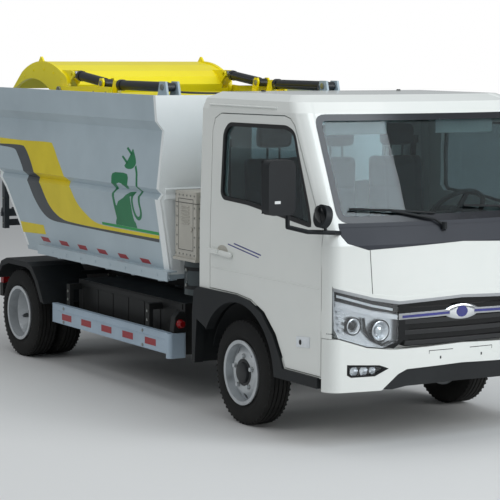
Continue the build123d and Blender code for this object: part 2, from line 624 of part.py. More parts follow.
def tub_pieces():
    """Tub as four welded groups: floor, side walls, front and tail walls, and the frame on top."""
    walls = tub_body()
    seam_z = TUB_FLOOR + TUB_WALL
    floor = walls & block(-1000, 1000, TUB_FRONT - 1, LIP_Y + 20, TUB_FLOOR - 1, seam_z)
    upper = walls - block(-1000, 1000, TUB_FRONT - 1, LIP_Y + 20, TUB_FLOOR - 1, seam_z)
    front = upper & block(-1000, 1000, TUB_FRONT - 1, TUB_FRONT + TUB_WALL, seam_z, TUB_TOP + 50)
    inner = tub_profile(TUB_WALL, TUB_TOP + 60)[1:6]
    behind = side_prism(inner + [(LIP_Y + 60, TUB_TOP + 60), (LIP_Y + 60, TUB_FLOOR)], -1000, 1000)
    tail = upper & behind
    sides = upper - block(-1000, 1000, TUB_FRONT - 1, TUB_FRONT + TUB_WALL, seam_z, TUB_TOP + 50) - behind
    rails = side_rail(-1) + side_rail(1)
    sides = sides + (rails - front - floor)
    top = tub_front_deck()
    beam_z = RAIL_TOP + SEAT_GAP + SUBFRAME_H + SEAT_GAP
    for side in (-1, 1):
        top = top + tub_track(side)
        low, high = sorted((side * RAIL_X, side * (RAIL_X - RAIL_W)))
        floor = floor + (tub_hinge(side) - tail)
        floor = floor + block(low, high, TUB_FRONT, HINGE_Y - 150, beam_z, TUB_FLOOR + 5)
    floor = floor + tub_head_ears()
    return {"tub_floor": floor, "tub_sides": sides, "tub_ends": group(front, tail + lifter_ears()),
            "tub_top_frame": top - walls}


# ---- packer ------------------------------------------------------------------------------------


def blade_plate(x0, x1):
    """Crescent end plate between two x values."""
    with BuildPart() as part:
        with BuildSketch(Plane.YZ.offset(x0)):
            with BuildLine():
                ThreePointArc(*BLADE_ARC)
                ThreePointArc(*BLADE_CROWN)
                Line(BLADE_CROWN[2], BLADE_TAIL)
                Line(BLADE_TAIL, BLADE_ARCH[2])
                ThreePointArc(BLADE_ARCH[2], BLADE_ARCH[1], BLADE_ARCH[0])
                Line(BLADE_ARCH[0], BLADE_ARC[0])
            make_face()
        extrude(amount=x1 - x0)
    return part.part


def packer_blade():
    """Arched packing blade: bent skin, crescent end plates, stiffener tube, pivot bosses and lugs."""
    inner = [(y + 2, z - SKIN_T) if index > 1 else (y + SKIN_T, z) for index, (y, z) in enumerate(BLADE_SKIN)]
    inner[-1] = (BLADE_SKIN[-1][0] - 16, BLADE_SKIN[-1][1] - 2)
    skin = side_prism(BLADE_SKIN + inner[::-1], -PACKER_X + 1, PACKER_X - 1)
    blade = skin
    for side in (-1, 1):
        low, high = sorted((side * PACKER_X, side * (PACKER_X - PACKER_PLATE)))
        blade = blade + blade_plate(low, high)
    for side in (-1, 1):
        boss_low, boss_high = sorted((side * (PACKER_X - PACKER_PLATE - 20), side * PACKER_X))
        blade = blade + bar_x(40, boss_low, boss_high, *PACKER_PIVOT)
        blade = blade - bar_x(20 + SHAFT_GAP, boss_low - 5, boss_high + 5, *PACKER_PIVOT)
    for side in (-1, 1):
        x = side * PACKER_CYL_X
        for cheek in (-1, 1):
            low = x + cheek * 34 - 7
            lug = side_prism([(BLADE_Y - 50, 2030), (BLADE_LUG[0] - 26, BLADE_LUG[1] - 12),
                              (BLADE_LUG[0] - 20, BLADE_LUG[1] + 24), (BLADE_LUG[0] + 24, BLADE_LUG[1] + 30),
                              (BLADE_Y + 80, 2136), (BLADE_Y + 80, 2110)], low, low + 14)
            blade = blade + lug
        blade = blade - bar_x(14, x - 60, x + 60, *BLADE_LUG)
        blade = blade - block(x - 27, x + 27, BLADE_Y - 190, BLADE_Y, 2000, 2150)
    for side in (-1, 1):
        low, high = sorted((side * (PACKER_X - 6), side * (PACKER_X - 20)))
        blade = blade + side_prism([(BLADE_Y + 340, 2186), (BLADE_Y + 388, 2232), (BLADE_Y + 400, 2232),
                                    (BLADE_Y + 442, 2186)], low, high)
    return blade


def packer_carriage():
    """Sliding carriage: side plates on the tub's top rails, cross tube, pivot pins, clevises and push rods."""
    carriage = None
    plate_x = PACKER_X + MOVE_GAP
    for side in (-1, 1):
        low, high = sorted((side * plate_x, side * (plate_x + 24)))
        y_front, y_rear = PUSH_EYE_Y - 60, PACKER_PIVOT[0] + 80
        outline = [(y_front, 1862), (y_front, 2030), (PACKER_EYE[0] + 70, 2030), (PACKER_PIVOT[0] - 120, 2020),
                   (PACKER_PIVOT[0] - 40, PACKER_PIVOT[1] + 40), (PACKER_PIVOT[0] + 40, PACKER_PIVOT[1] + 40),
                   (y_rear, PACKER_PIVOT[1] - 40), (y_rear, 1862)]
        plate = side_prism(outline, low, high)
        shoe_low, shoe_high = sorted((side * (plate_x + 10), side * (TRACK_X + TRACK_W - 8)))
        z_shoe = TUB_TOP - 110 + SEAT_GAP
        shoe = block(shoe_low, shoe_high, y_front, y_rear, z_shoe, z_shoe + 30)
        pin_low, pin_high = sorted((side * (PACKER_X - PACKER_PLATE - 18), side * (plate_x + 24)))
        pin = bar_x(20, pin_low, pin_high, *PACKER_PIVOT)
        piece = plate + shoe + pin
        carriage = piece if carriage is None else carriage + piece
    beam_z = (1905.0, 1985.0)
    for y in (PUSH_EYE_Y + 30, PACKER_EYE[0] + 40):
        carriage = carriage + block(-plate_x - 5, plate_x + 5, y - 50, y + 50, *beam_z)
    for side in (-1, 1):
        x = side * PACKER_CYL_X
        for cheek in (-1, 1):
            low = x + cheek * (PACKER_CYL_R + 12) - 7
            y, z = PACKER_EYE
            outline = [(y - 10, beam_z[1] - 10), (y - 34, z + 10), (y - 20, z + 36), (y + 20, z + 36),
                       (y + 36, z),
                       (y + 60, beam_z[1] - 10)]
            carriage = carriage + side_prism(outline, low, low + 14)
        carriage = carriage + bar_x(15, x - PACKER_CYL_R - 19, x + PACKER_CYL_R + 19, *PACKER_EYE)
        rod_end = PUSH_CLEVIS_Y + 120
        post = side_prism([(PUSH_EYE_Y - 30, beam_z[1] - 10), (PUSH_EYE_Y - 26, PUSH_Z + 30),
                           (PUSH_EYE_Y + 26, PUSH_Z + 30), (PUSH_EYE_Y + 60, beam_z[1] - 10)], x - 20, x + 20)
        rod = bar_yz(PACKER_ROD_R, (rod_end, PUSH_Z), (PUSH_EYE_Y, PUSH_Z), x)
        carriage = carriage + post + rod
    return carriage


def push_barrels():
    """Barrels of the two push cylinders, pinned at the tub's front deck."""
    x = PACKER_CYL_X
    head = PUSH_EYE_Y - 26 - 24
    barrel = bar_yz(PACKER_CYL_R, (PUSH_CLEVIS_Y + 30, PUSH_Z), (head, PUSH_Z), x)
    collar = bar_yz(PACKER_CYL_R + 5, (head - 40, PUSH_Z), (head, PUSH_Z), x)
    eye = bar_x(30, x - PACKER_CYL_R + 2, x + PACKER_CYL_R - 2, PUSH_CLEVIS_Y, PUSH_Z)
    eye = eye + block(x - 24, x + 24, PUSH_CLEVIS_Y, PUSH_CLEVIS_Y + 40, PUSH_Z - 24, PUSH_Z + 24)
    eye = eye - bar_x(16 + SHAFT_GAP, x - 60, x + 60, PUSH_CLEVIS_Y, PUSH_Z)
    bore = bar_yz(PACKER_ROD_R + SHAFT_GAP, (PUSH_CLEVIS_Y + 80, PUSH_Z), (head + 5, PUSH_Z), x)
    return pair((barrel + collar + eye) - bore)


def swing_barrels():
    """Barrels of the two swing cylinders, turning on the carriage."""
    x = PACKER_CYL_X
    head = along(BLADE_LUG, PACKER_EYE, 62)
    start = along(PACKER_EYE, BLADE_LUG, 30)
    barrel = bar_yz(PACKER_CYL_R, start, head, x)
    collar = bar_yz(PACKER_CYL_R + 4, along(head, PACKER_EYE, 34), head, x)
    eye = bar_x(30, x - PACKER_CYL_R + 2, x + PACKER_CYL_R - 2, *PACKER_EYE)
    eye = eye + bar_yz(22, PACKER_EYE, start, x)
    eye = eye - bar_x(15 + SHAFT_GAP, x - 60, x + 60, *PACKER_EYE)
    bore = bar_yz(PACKER_ROD_R + SHAFT_GAP, along(PACKER_EYE, BLADE_LUG, 80), along(head, BLADE_LUG, 5), x)
    return pair((barrel + collar + eye) - bore)


def swing_rods():
    """Rods of the swing cylinders, each with its eye between the blade's lugs."""
    x = PACKER_CYL_X
    rod = bar_yz(PACKER_ROD_R, along(PACKER_EYE, BLADE_LUG, 90), BLADE_LUG, x)
    eye = bar_x(26, x - 20, x + 20, *BLADE_LUG)
    return pair((rod + eye) - bar_x(14, x - 40, x + 40, *BLADE_LUG))


# ---- tipping cylinder --------------------------------------------------------------------------
def tip_barrel():
    """Barrel of the tipping cylinder with its foot eye."""
    start = along(TIP_FOOT, TIP_HEAD, 50)
    head = along(TIP_HEAD, TIP_FOOT, 75)
    barrel = bar_yz(TIP_BARREL_R, start, head, 0)
    eye = bar_x(36, -TIP_EYE_W / 2, TIP_EYE_W / 2, *TIP_FOOT)
    eye = eye + bar_yz(28, TIP_FOOT, start, 0)
    eye = eye - bar_x(20 + SHAFT_GAP, -60, 60, *TIP_FOOT)
    bore = bar_yz(TIP_ROD_R + SHAFT_GAP, along(TIP_FOOT, TIP_HEAD, 110), along(head, TIP_HEAD, 5), 0)
    return (barrel + eye) - bore


def tip_rod():
    """Rod of the tipping cylinder, its eye between the ears under the tub."""
    rod = bar_yz(TIP_ROD_R, along(TIP_FOOT, TIP_HEAD, 120), along(TIP_HEAD, TIP_FOOT, 20), 0)
    eye = bar_x(34, -TIP_EYE_W / 2, TIP_EYE_W / 2, *TIP_HEAD)
    return (rod + eye) - bar_x(20, -60, 60, *TIP_HEAD)


# ---- bin lifter --------------------------------------------------------------------------------
def bin_lifter():
    """Two arms on the shaft, a back plate between them and a toothed comb under the bins' rims."""
    y, z = LIFT_PIVOT
    arm_y = y + 60
    lifter = None
    for side in (-1, 1):
        x = side * LIFT_ARM_X
        outline = [(y - 40, z - 10), (y - 30, z + 36), (y + 20, z + 44), (arm_y + 26, z - 40),
                   (arm_y + 26, LIFT_FOOT_Z), (arm_y - 22, LIFT_FOOT_Z), (arm_y - 22, z - 110)]
        arm = side_prism(outline, x - LIFT_ARM_W / 2, x + LIFT_ARM_W / 2)
        arm = arm - bar_x(LIFT_PIN_R + SHAFT_GAP, x - LIFT_ARM_W, x + LIFT_ARM_W, y, z)
        lifter = arm if lifter is None else lifter + arm
    for z_bar, height in ((LIFT_FOOT_Z + 20, 50), (COMB_Z - 30, 60), (1330, 60)):
        lifter = lifter + block(-LIFT_ARM_X, LIFT_ARM_X, arm_y - 14, arm_y + 14, z_bar, z_bar + height)
    comb_half = LIFT_ARM_X + 30
    shelf = block(-comb_half, comb_half, arm_y + 10, arm_y + 40, COMB_Z - 30, COMB_Z)
    lifter = lifter + shelf
    pitch = 2 * (comb_half - 20) / (COMB_TEETH - 1)
    for index in range(COMB_TEETH):
        x = -comb_half + 20 + index * pitch
        tooth = side_prism([(arm_y + 26, COMB_Z - 5), (arm_y + 26, COMB_Z + 38), (arm_y + 34, COMB_Z + 38),
                            (REAR_END, COMB_Z - 5)], x - 13, x + 13)
        lifter = lifter + tooth
    return lifter


# ---- cab ---------------------------------------------------------------------------------------
def plan_face(z, half, rear, flank, corner_x, corner_y, nose, inset):
    """Plan outline of the cab at height z, drawn in by inset."""
    x_side = half - inset
    y_rear = rear - inset
    x_corner = corner_x - 0.75 * inset
    y_corner = corner_y + 0.85 * inset
    y_nose = nose + inset
    x_mid = (x_side + x_corner) / 2 + (x_side - x_corner) * 0.26
    y_mid = (flank + y_corner) / 2 + (y_corner - flank) * 0.2
    edges = [
        Line((-x_side, y_rear, z), (-x_side, flank, z)),
        ThreePointArc((-x_side, flank, z), (-x_mid, y_mid, z), (-x_corner, y_corner, z)),
        ThreePointArc((-x_corner, y_corner, z), (0, y_nose, z), (x_corner, y_corner, z)),
        ThreePointArc((x_corner, y_corner, z), (x_mid, y_mid, z), (x_side, flank, z)),
        Line((x_side, flank, z), (x_side, y_rear, z)),
        Line((x_side, y_rear, z), (-x_side, y_rear, z)),
    ]
    return make_face(edges)


def cab_lower(inset, z0, z1):
    """Upright lower part of the cab between two heights."""
    return extrude(plan_face(z0, *CAB_LOW, inset), amount=z1 - z0, dir=(0, 0, 1))


def cab_upper(inset, roof_drop):
    """Upper part of the cab: belt, screen and roof as ruled spans between plan sections."""
    spans = None
    for index in range(len(CAB_SECTIONS) - 1):
        low, high = CAB_SECTIONS[index], CAB_SECTIONS[index + 1]
        z_low, z_high = low[0], high[0]
        if index > 1:
            z_low = z_low - roof_drop
        if index > 0:
            z_high = z_high - roof_drop
        faces = [plan_face(z_low, *low[1:], inset), plan_face(z_high, *high[1:], inset)]
        span = loft(faces, ruled=True)
        spans = span if spans is None else spans + span
    return spans


def door_outline(gap):
    """Outline of a door as (y, z), drawn in by gap on every edge."""
    g = gap
    return [(DOOR_FRONT + g, DOOR_BOTTOM + g), (DOOR_FRONT + g, 1275), (-876.0 + g, 1340), (-592.0 + g, 1868 - g),
            (-545.0 + g, 1905 - g), (-480.0, 1920 - g), (250.0, 1912 - g), (325.0 - g, 1880 - g),
            (DOOR_REAR - g, 1800), (DOOR_REAR - g, ARCH_TOP_Z + g), (20.0, ARCH_TOP_Z + g - 2),
            (-140.0 - g, 792.0 + g), (-290.0 - g, 732.0 + g), (-420.0 - g, 618.0 + g), (-495.0 - g, 500.0 + g),
            (FRONT_ARCH_Y - g, DOOR_BOTTOM + g)]


def window_outline(grow):
    """Door window grown outward from its middle."""
    y_mid, z_mid = -280.0, 1600.0
    return [(y + grow * (1 if y > y_mid else -1), z + grow * (1 if z > z_mid else -1)) for y, z in DOOR_WINDOW]


def front_band(outline, depth0, depth1):
    """Piece of the cab's nose: a band behind its outer face, cut to an (x, z) outline."""
    z_low = min(z for _, z in outline) - 10
    z_high = max(z for _, z in outline) + 10
    band = cab_lower(depth0, z_low, z_high) - cab_lower(depth1, z_low - 1, z_high + 1)
    return band & front_prism(outline, FRONT_END - 40, DOOR_FRONT - 4)


def cab_shell():
    """Hollow cab of pressed steel with its openings cut."""
    body = cab_lower(0, CAB_BOTTOM, BELT_Z) + cab_upper(0, 0)
    room = cab_upper(CAB_WALL, ROOF_DROP) + cab_lower(CAB_WALL, CAB_FLOOR, BELT_Z)
    well = cab_lower(FASCIA_DEPTH + 45, WELL_FLOOR, CAB_FLOOR + 50)
    well = well & block(-800, 800, FRONT_END, -500, WELL_FLOOR, CAB_FLOOR + 50)
    well = well - block(-TUNNEL_X, TUNNEL_X, FRONT_END, -500, WELL_FLOOR, TUNNEL_TOP + 40)
    body = body - room - well
    body = body - front_zone()
    body = body - block(-1000, 1000, -500, 700, 300, CAB_UNDERSIDE)
    body = body - block(40 - TUNNEL_X, TUNNEL_X - 40, -1000, 700, 300, TUNNEL_TOP)
    body = body - block(-470, 470, FRONT_END, -990, 300, 580)
    for side in (-1, 1):
        low, high = sorted((side * 440, side * 1000))
        body = body - bar_x(ARCH_R, low, high, 0, TYRE_R)
        low, high = sorted((side * 700, side * 1000))
        body = body - side_prism(door_outline(0), low, high) - flare_space(side)
    body = body - front_prism(SCREEN, -1300, -400) - front_prism(REAR_GLASS, 300, 600)
    body = body - cowl_space() - wiper_holes()
    for side in (-1, 1):
        low, high = sorted((side * (RAIL_X - RAIL_W), side * RAIL_X))
        for y in (-780.0, 430.0):
            mount_top = (TUNNEL_TOP if y < 0 else CAB_UNDERSIDE) + 5
            body = body + block(low, high, y - 30, y + 30, RAIL_TOP + SEAT_GAP, mount_top)
        for z in HINGE_HEIGHTS:
            pin = Pos(side * CAB_LOW[0], DOOR_FRONT + DOOR_GAP / 2, z) * Cylinder(DOOR_PIN_R, HINGE_LENGTH)
            low, high = sorted((side * (CAB_LOW[0] - 7), side * CAB_LOW[0]))
            web = block(low, high, DOOR_FRONT - 2, DOOR_FRONT + DOOR_GAP / 2, z - HINGE_LENGTH / 2,
                        z + HINGE_LENGTH / 2)
            body = body + pin + web
    return body


def front_zone():
    """Space in front of the cab's nose wall that bumper, lamps and grille fill."""
    zone = [(-1000, 300), (-1000, 664), (-849, 664), (-849, 964), (-620, 909), (-400, 884), (0, GRILLE_TOP_MID + 4),
            (400, 884), (620, 909), (849, 964), (849, 664), (1000, 664), (1000, 300)]
    return front_prism(zone, FRONT_END - 60, DOOR_FRONT - 2) - cab_lower(FASCIA_DEPTH + SEAT_GAP, 200, 1100)


def cowl_space():
    """Shallow recess for the cowl panel."""
    prism = front_prism(COWL, FRONT_END - 60, -800)
    return prism - cab_upper(COWL_DEPTH, 0) - cab_lower(COWL_DEPTH, 1100, BELT_Z)


def cowl_panel():
    """Dark panel under the windscreen, set into its recess."""
    grown = front_prism([(x * 0.998, z - 1.5 if z > 1280 else z + 1.5) for x, z in COWL], FRONT_END - 60, -800)
    skin = cab_upper(1, 0) + cab_lower(1, 1150, BELT_Z)
    core = cab_upper(COWL_DEPTH - SEAT_GAP, 0) + cab_lower(COWL_DEPTH - SEAT_GAP, 1140, BELT_Z)
    return ((skin - core) & grown) - wiper_holes()


def glass_band(depth0, depth1):
    """Thin layer that follows the cab's upper skin."""
    return cab_upper(depth0, depth0) - cab_upper(depth1, depth1)


def windscreen():
    """Front glass in its opening."""
    outline = [(x * (1 - 0.4 / abs(x)), z + (0.3 if z < 1500 else -0.3)) for x, z in SCREEN]
    return glass_band(6, 14) & front_prism(outline, -1300, -400)


def rear_window():
    """Rear glass in its opening."""
    x, z0, z1 = 520 - SEAT_GAP, 1450 + SEAT_GAP, 1840 - SEAT_GAP
    return block(-x, x, CAB_REAR - 26, CAB_REAR - 18, z0, z1)


def door(side):
    """Front-hinged door as thick as its wall, with its window cut and a pull handle."""
    low, high = sorted((side * 700, side * 1000))
    raw = (cab_lower(0, DOOR_BOTTOM - 10, BELT_Z) - cab_lower(DOOR_THICK, DOOR_BOTTOM - 20, BELT_Z))
    raw = raw + (cab_upper(0, 0) - cab_upper(DOOR_THICK, 0))
    panel = raw & side_prism(door_outline(DOOR_GAP), low, high)
    panel = panel - side_prism(DOOR_WINDOW, low, high)
    grip_x = 873.0
    near, far = sorted((side * (grip_x + 18), side * (grip_x + 32)))
    grip = block(near, far, 210, 345, 1040, 1066)
    for y in (218.0, 318.0):
        near, far = sorted((side * (grip_x - 5), side * (grip_x + 20)))
        grip = grip + block(near, far, y, y + 20, 1042, 1064)
    return panel + grip


def door_glass(side):
    """Side glass in a door's window."""
    low, high = sorted((side * 700, side * 1000))
    return glass_band(14, 22) & side_prism(window_outline(-0.2), low, high)


def flare_space(side):
    """Room in the cab's flank for the flare."""
    low, high = sorted((side * (CAB_LOW[0] - 46 - SEAT_GAP), side * 1000))
    grown = [(y, z + SEAT_GAP) for y, z in FLARE]
    return side_prism(grown, low, high)


def arch_flares():
    """Dark trim round the front wheel arches with the sill in front and the flap behind."""
    pieces = []
    half = CAB_LOW[0]
    for side in (-1, 1):
        low, high = sorted((side * (half - 46), side * (half + FLARE_PROUD)))
        trim = side_prism(FLARE, low, high)
        near, far = sorted((side * 440, side * 1000))
        trim = trim - bar_x(ARCH_R + 6, near, far, 0, TYRE_R)
        trim = trim - block(near, far, -455, 445, 200, TYRE_R)
        flap_low, flap_high = sorted((side * 520, side * (half - 40)))
        flap = side_prism([(FLAP_REAR - 14, 316.0), (FLAP_REAR, 316.0), (FLAP_REAR, 640.0), (CAB_REAR + 40, 700.0),
                           (CAB_REAR - 10, 756.0), (CAB_REAR - 30, 742.0), (CAB_REAR + 30, 640.0)], flap_low, flap_high)
        pieces.append(trim + flap)
    return group(*pieces)


def front_bumper():
    """Painted bumper that wraps both corners, with openings for the fog lamps."""
    bumper = front_band(mirrored_outline(BUMPER_TOP, BUMPER_LOW), 0, FASCIA_DEPTH)
    for side in (-1, 1):
        hole = [(side * -x, z) for x, z in FOG_LAMP]
        bumper = bumper - front_prism(hole, FRONT_END - 60, DOOR_FRONT)
    brackets = None
    for side in (-1, 1):
        low, high = sorted((side * (RAIL_X + SEAT_GAP), side * (RAIL_X + 40)))
        arm = block(low, high, FRONT_END + 50, FRAME_FRONT + 120, 515, 565)
        brackets = arm if brackets is None else brackets + arm
    return bumper + brackets


def mirrored_outline(top, low):
    """Closed outline from the left half of a top edge and of a lower edge."""
    left = [point for point in top]
    right_top = [(-x, z) for x, z in reversed(left) if x != 0]
    right_low = [(-x, z) for x, z in reversed(low) if x != 0]
    return left + right_top + right_low + [point for point in low]


def lower_bumper():
    """Dark valance under the bumper's middle."""
    top = [(-540.0, 356.0), (-436.0, 437.0), (-378.0, 462.0), (0.0, 474.0)]
    low = [(0.0, 372.0), (-380.0, 366.0), (-470.0, 352.0)]
    band = front_band(mirrored_outline(top, low), 8, FASCIA_DEPTH)
    for side in (-1, 1):
        low_x, high_x = sorted((side * (RAIL_X + SEAT_GAP), side * (RAIL_X + 40)))
        band = band + block(low_x, high_x, FRONT_END + 55, FRONT_END + 125, 392, 452)
        band = band + block(low_x, high_x, FRONT_END + 95, FRONT_END + 125, 450, 515 - SEAT_GAP)
    return band


def grille():
    """Dark grille with bars between the headlamps."""
    top = [(-396.0, 878.0), (0.0, GRILLE_TOP_MID - 1)]
    low = [(0.0, 608.0), (-250.0, 600.0), (-396.0, 601.0), (-396.0, 640.0)]
    frame = front_band(mirrored_outline(top, low), 4, FASCIA_DEPTH)
    slots = None
    for z0, z1 in GRILLE_SLOTS:
        slot = front_prism([(-372, z0), (372, z0), (372, z1), (-372, z1)], FRONT_END - 40, DOOR_FRONT)
        slots = slot if slots is None else slots + slot
    slots = slots - cab_lower(26, 500, 1000)
    return frame - slots


def front_lamps():
    """Headlamps that wrap the corners, and the fog lamps in the bumper."""
    pieces = []
    for side in (-1, 1):
        outline = [(side * -x, z) for x, z in LAMP_TOP + LAMP_BOTTOM + LAMP_SIDE]
        pieces.append(front_band(outline, 3, FASCIA_DEPTH))
        fog = [(side * -(-640 + (x + 640) * 0.995), 472 + (z - 472) * 0.99) for x, z in FOG_LAMP]
        pieces.append(front_band(fog, 6, FASCIA_DEPTH))
    return group(*pieces)


def dashboard():
    """Dashboard across the cab under the screen, with the steering column."""
    outline = [(-985.0, 1120.0), (-985.0, 1255.0), (-900.0, 1285.0), (-700.0, 1262.0), (-600.0, 1190.0),
               (-640.0, 1010.0), (-800.0, 900.0), (-860.0, 900.0)]
    board = side_prism(outline, -780, 780)
    board = board & (cab_lower(CAB_WALL + SEAT_GAP, 800, BELT_Z) + cab_upper(CAB_WALL + SEAT_GAP, ROOF_DROP))
    column = bar_yz(32, (-680, 1130), (COLUMN_TOP[0], COLUMN_TOP[1]), STEER_X)
    return board + column


def steering_wheel():
    """Rim, spokes and hub on the column's end."""
    tilt = degrees(atan2(COLUMN_TOP[1] - 1130, COLUMN_TOP[0] + 680))
    ring = Torus(190, 15)
    hub_disc = Cylinder(48, 36)
    spokes = Box(350, 34, 12) + Pos(0, -90, 0) * Box(34, 180, 12)
    centre = along(COLUMN_TOP, (-680, 1130), -18 - SEAT_GAP)
    return Pos(STEER_X, centre[0], centre[1]) * Rot(tilt - 90, 0, 0) * (ring + hub_disc + spokes)


def seats():
    """Two seats with backs and headrests and the middle one between them."""
    parts = []
    for x, width in ((-470.0, 470.0), (0.0, 340.0), (470.0, 470.0)):
        low, high = x - width / 2 + 6, x + width / 2 - 6
        base = side_prism([(-330, CAB_FLOOR + SEAT_GAP), (-330, 1130), (-300, 1160), (120, 1140), (200, 1150),
                           (200, CAB_FLOOR + SEAT_GAP)], low, high)
        back = side_prism([(110, 1120), (190, 1640), (230, 1670), (300, 1650), (290, 1300), (230, 1100)],
                          low + 10, high - 10)
        head = side_prism([(190, 1680), (200, 1830), (230, 1850), (300, 1840), (300, 1680)], x - 110, x + 110)
        post = block(x - 40, x + 40, 235, 265, 1640, 1700)
        parts.append(base + back + head + post)
    return group(*parts)


def mirrors():
    """Rear-view mirrors on arms from the front corners, and a round near-view mirror on each."""
    pieces = []
    for side in (-1, 1):
        x = side * MIRROR_X
        head = block(x - 88, x + 88, MIRROR_Y - 46, MIRROR_Y + 34, 1380, 1690)
        head = fillet(head.edges().filter_by(Axis.Y), 36)
        foot_x = side * 801.6
        route = [(foot_x, -986.5, 1268.2), (side * 860.0, -1020.0, 1276.0), (side * 1010.0, -975.0, 1284.0),
                 (side * (MIRROR_X - 60), MIRROR_Y - 10, 1310.0), (side * (MIRROR_X - 60), MIRROR_Y - 6, 1400.0)]
        arm = tube_route(route, 13.0)
        disc_x = side * 930.0
        ball = Pos(disc_x, -1010, 1370) * Rot(0, side * 78, side * 6) * Cylinder(66, 44)
        stem = tube_route([(side * 905.0, -1007.0, 1279.0), (disc_x, -1005.0, 1360.0)], 9.0)
        pieces.append(head + arm + ball + stem)
    return group(*pieces)


def tube_route(points, radius):
    """Round tube along straight runs, with a ball at each corner."""
    tube = None
    for start, end in zip(points[:-1], points[1:]):
        a, b = Vector(*start), Vector(*end)
        run = Plane(origin=a, z_dir=b - a) * Cylinder(radius, (b - a).length,
                                                      align=(Align.CENTER, Align.CENTER, Align.MIN))
        knob = Pos(*end) * Sphere(radius)
        tube = run + knob if tube is None else tube + run + knob
    return tube


def wiper_holes():
    """Round holes in cowl and cab for the wiper pivots."""
    holes = None
    for foot_x, _ in WIPERS:
        foot = Pos(foot_x, screen_y(foot_x, 1290.0) - 16, 1290.0)
        hole = foot * Cylinder(WIPER_POST_R + SEAT_GAP, 60)
        holes = hole if holes is None else holes + hole
    return holes


def wipers():
    """Two wiper arms with blades, parked low on the windscreen."""
    pieces = []
    for foot_x, tip_x in WIPERS:
        foot = (foot_x, screen_y(foot_x, 1290.0) - 16, 1290.0)
        knee = (foot_x - 60, screen_y(foot_x - 60, 1330.0) - 24, 1330.0)
        tip = ((foot_x + tip_x) / 2 - 40, screen_y((foot_x + tip_x) / 2 - 40, 1385.0) - 18, 1385.0)
        arm = tube_route([foot, knee, tip], 8.0)
        start = (tip_x, screen_y(tip_x, 1398.0) - 12, 1398.0)
        end = (foot_x - 40, screen_y(foot_x - 40, 1362.0) - 12, 1362.0)
        blade = tube_route([start, tip, end], 7.0)
        post = Pos(*foot) * Cylinder(WIPER_POST_R, 40)
        pieces.append(arm + blade + post)
    return group(*pieces)


def screen_y(x, z):
    """Y of the cab's outer face at a place on the windscreen."""
    low, high = CAB_SECTIONS[1], CAB_SECTIONS[2]
    share = (z - low[0]) / (high[0] - low[0])
    nose = low[6] + (high[6] - low[6]) * share
    corner_x = low[4] + (high[4] - low[4]) * share
    corner_y = low[5] + (high[5] - low[5]) * share
    return nose + (corner_y - nose) * (x / corner_x) ** 2


def side_guards():
    """Lower side rails between the axles, on bent posts from the frame."""
    pieces = []
    for side in (-1, 1):
        low, high = sorted((side * (GUARD_X - 36), side * GUARD_X))
        plank = block(low, high, GUARD_Y[0] + 30, GUARD_Y[1], *GUARD_Z)
        low, high = sorted((side * (GUARD_X - GUARD_RETURN), side * GUARD_X))
        cap = block(low, high, GUARD_Y[0], GUARD_Y[0] + 64, GUARD_Z[0] - 30, GUARD_Z[1] - 4)
        cap = fillet(cap.edges().filter_by(Axis.Z), 28)
        pieces.append(plank + cap)
    return group(*pieces)


def guard_posts():
    """Posts that carry the side rails."""
    pieces = []
    for side in (-1, 1):
        for y in GUARD_POSTS:
            pieces.append(side_post(side, y))
    return group(*pieces)


def side_post(side, y):
    """Post of a side guard: up from the plank, bent inward to the battery's outer face."""
    inner = RAIL_X + 2 * SEAT_GAP + 400
    face = GUARD_X - 36 - SEAT_GAP
    low, high = sorted((side * (face - 30), side * face))
    post = block(low, high, y - 25, y + 25, 360, 610)
    low, high = sorted((side * inner, side * (face - 14)))
    return post + block(low, high, y - 25, y + 25, 570, 610)


def rear_mudguards():
    """Angular mudguards over the twin wheels, on stays from the frame."""
    pieces = []
    mid = WHEELBASE
    outer = [(mid - 460, 452.0), (mid - 365, 600.0), (mid - 260, 700.0), (mid - 175, 722.0), (mid + 180, 722.0),
             (mid + 280, 690.0), (mid + 390, 560.0)]
    inner = [(y + (8 if y < mid else -8), z - 10) for y, z in outer]
    for side in (-1, 1):
        low, high = sorted((side * 525, side * 935))
        guard = side_prism(outer + inner[::-1], low, high)
        skirt_low, skirt_high = sorted((side * 925, side * 935))
        skirt = side_prism(outer + [(mid + 360, 545.0), (mid + 260, 655.0), (mid + 160, 684.0),
                                    (mid - 160, 684.0), (mid - 230, 665.0), (mid - 310, 600.0),
                                    (mid - 410, 452.0)], skirt_low, skirt_high)
        piece = guard + skirt
        for y in (mid - 310, mid + 310):
            low, high = sorted((side * (RAIL_X + SEAT_GAP), side * 560))
            stay_z = 655.0 if y < mid else 640.0
            piece = piece + block(low, high, y - 14, y + 14, stay_z - 30, stay_z)
        pieces.append(piece)
    return group(*pieces)


def cabinet():
    """Service cabinet behind the cab on its ledge, with a stand from the frame."""
    box = block(-830, -520, 600, 872, 962, 1392)
    ledge = block(-842, -500, 590, 884, 944, 962)
    stand = block(-520, -470, 700, 760, RAIL_TOP - 60, 944) + block(-520, -RAIL_X - SEAT_GAP, 700, 760, 580, 630)
    return box + ledge + stand


def oil_tank():
    """Upright hydraulic tank under the ledge."""
    tank = Pos(-690, 738, 832) * Cylinder(128, 222)
    foot = block(-690, -RAIL_X - SEAT_GAP, 770, 806, 700, 722)
    foot = foot + block(-380, -RAIL_X - SEAT_GAP, 770, 806, 600, 722)
    return tank + foot


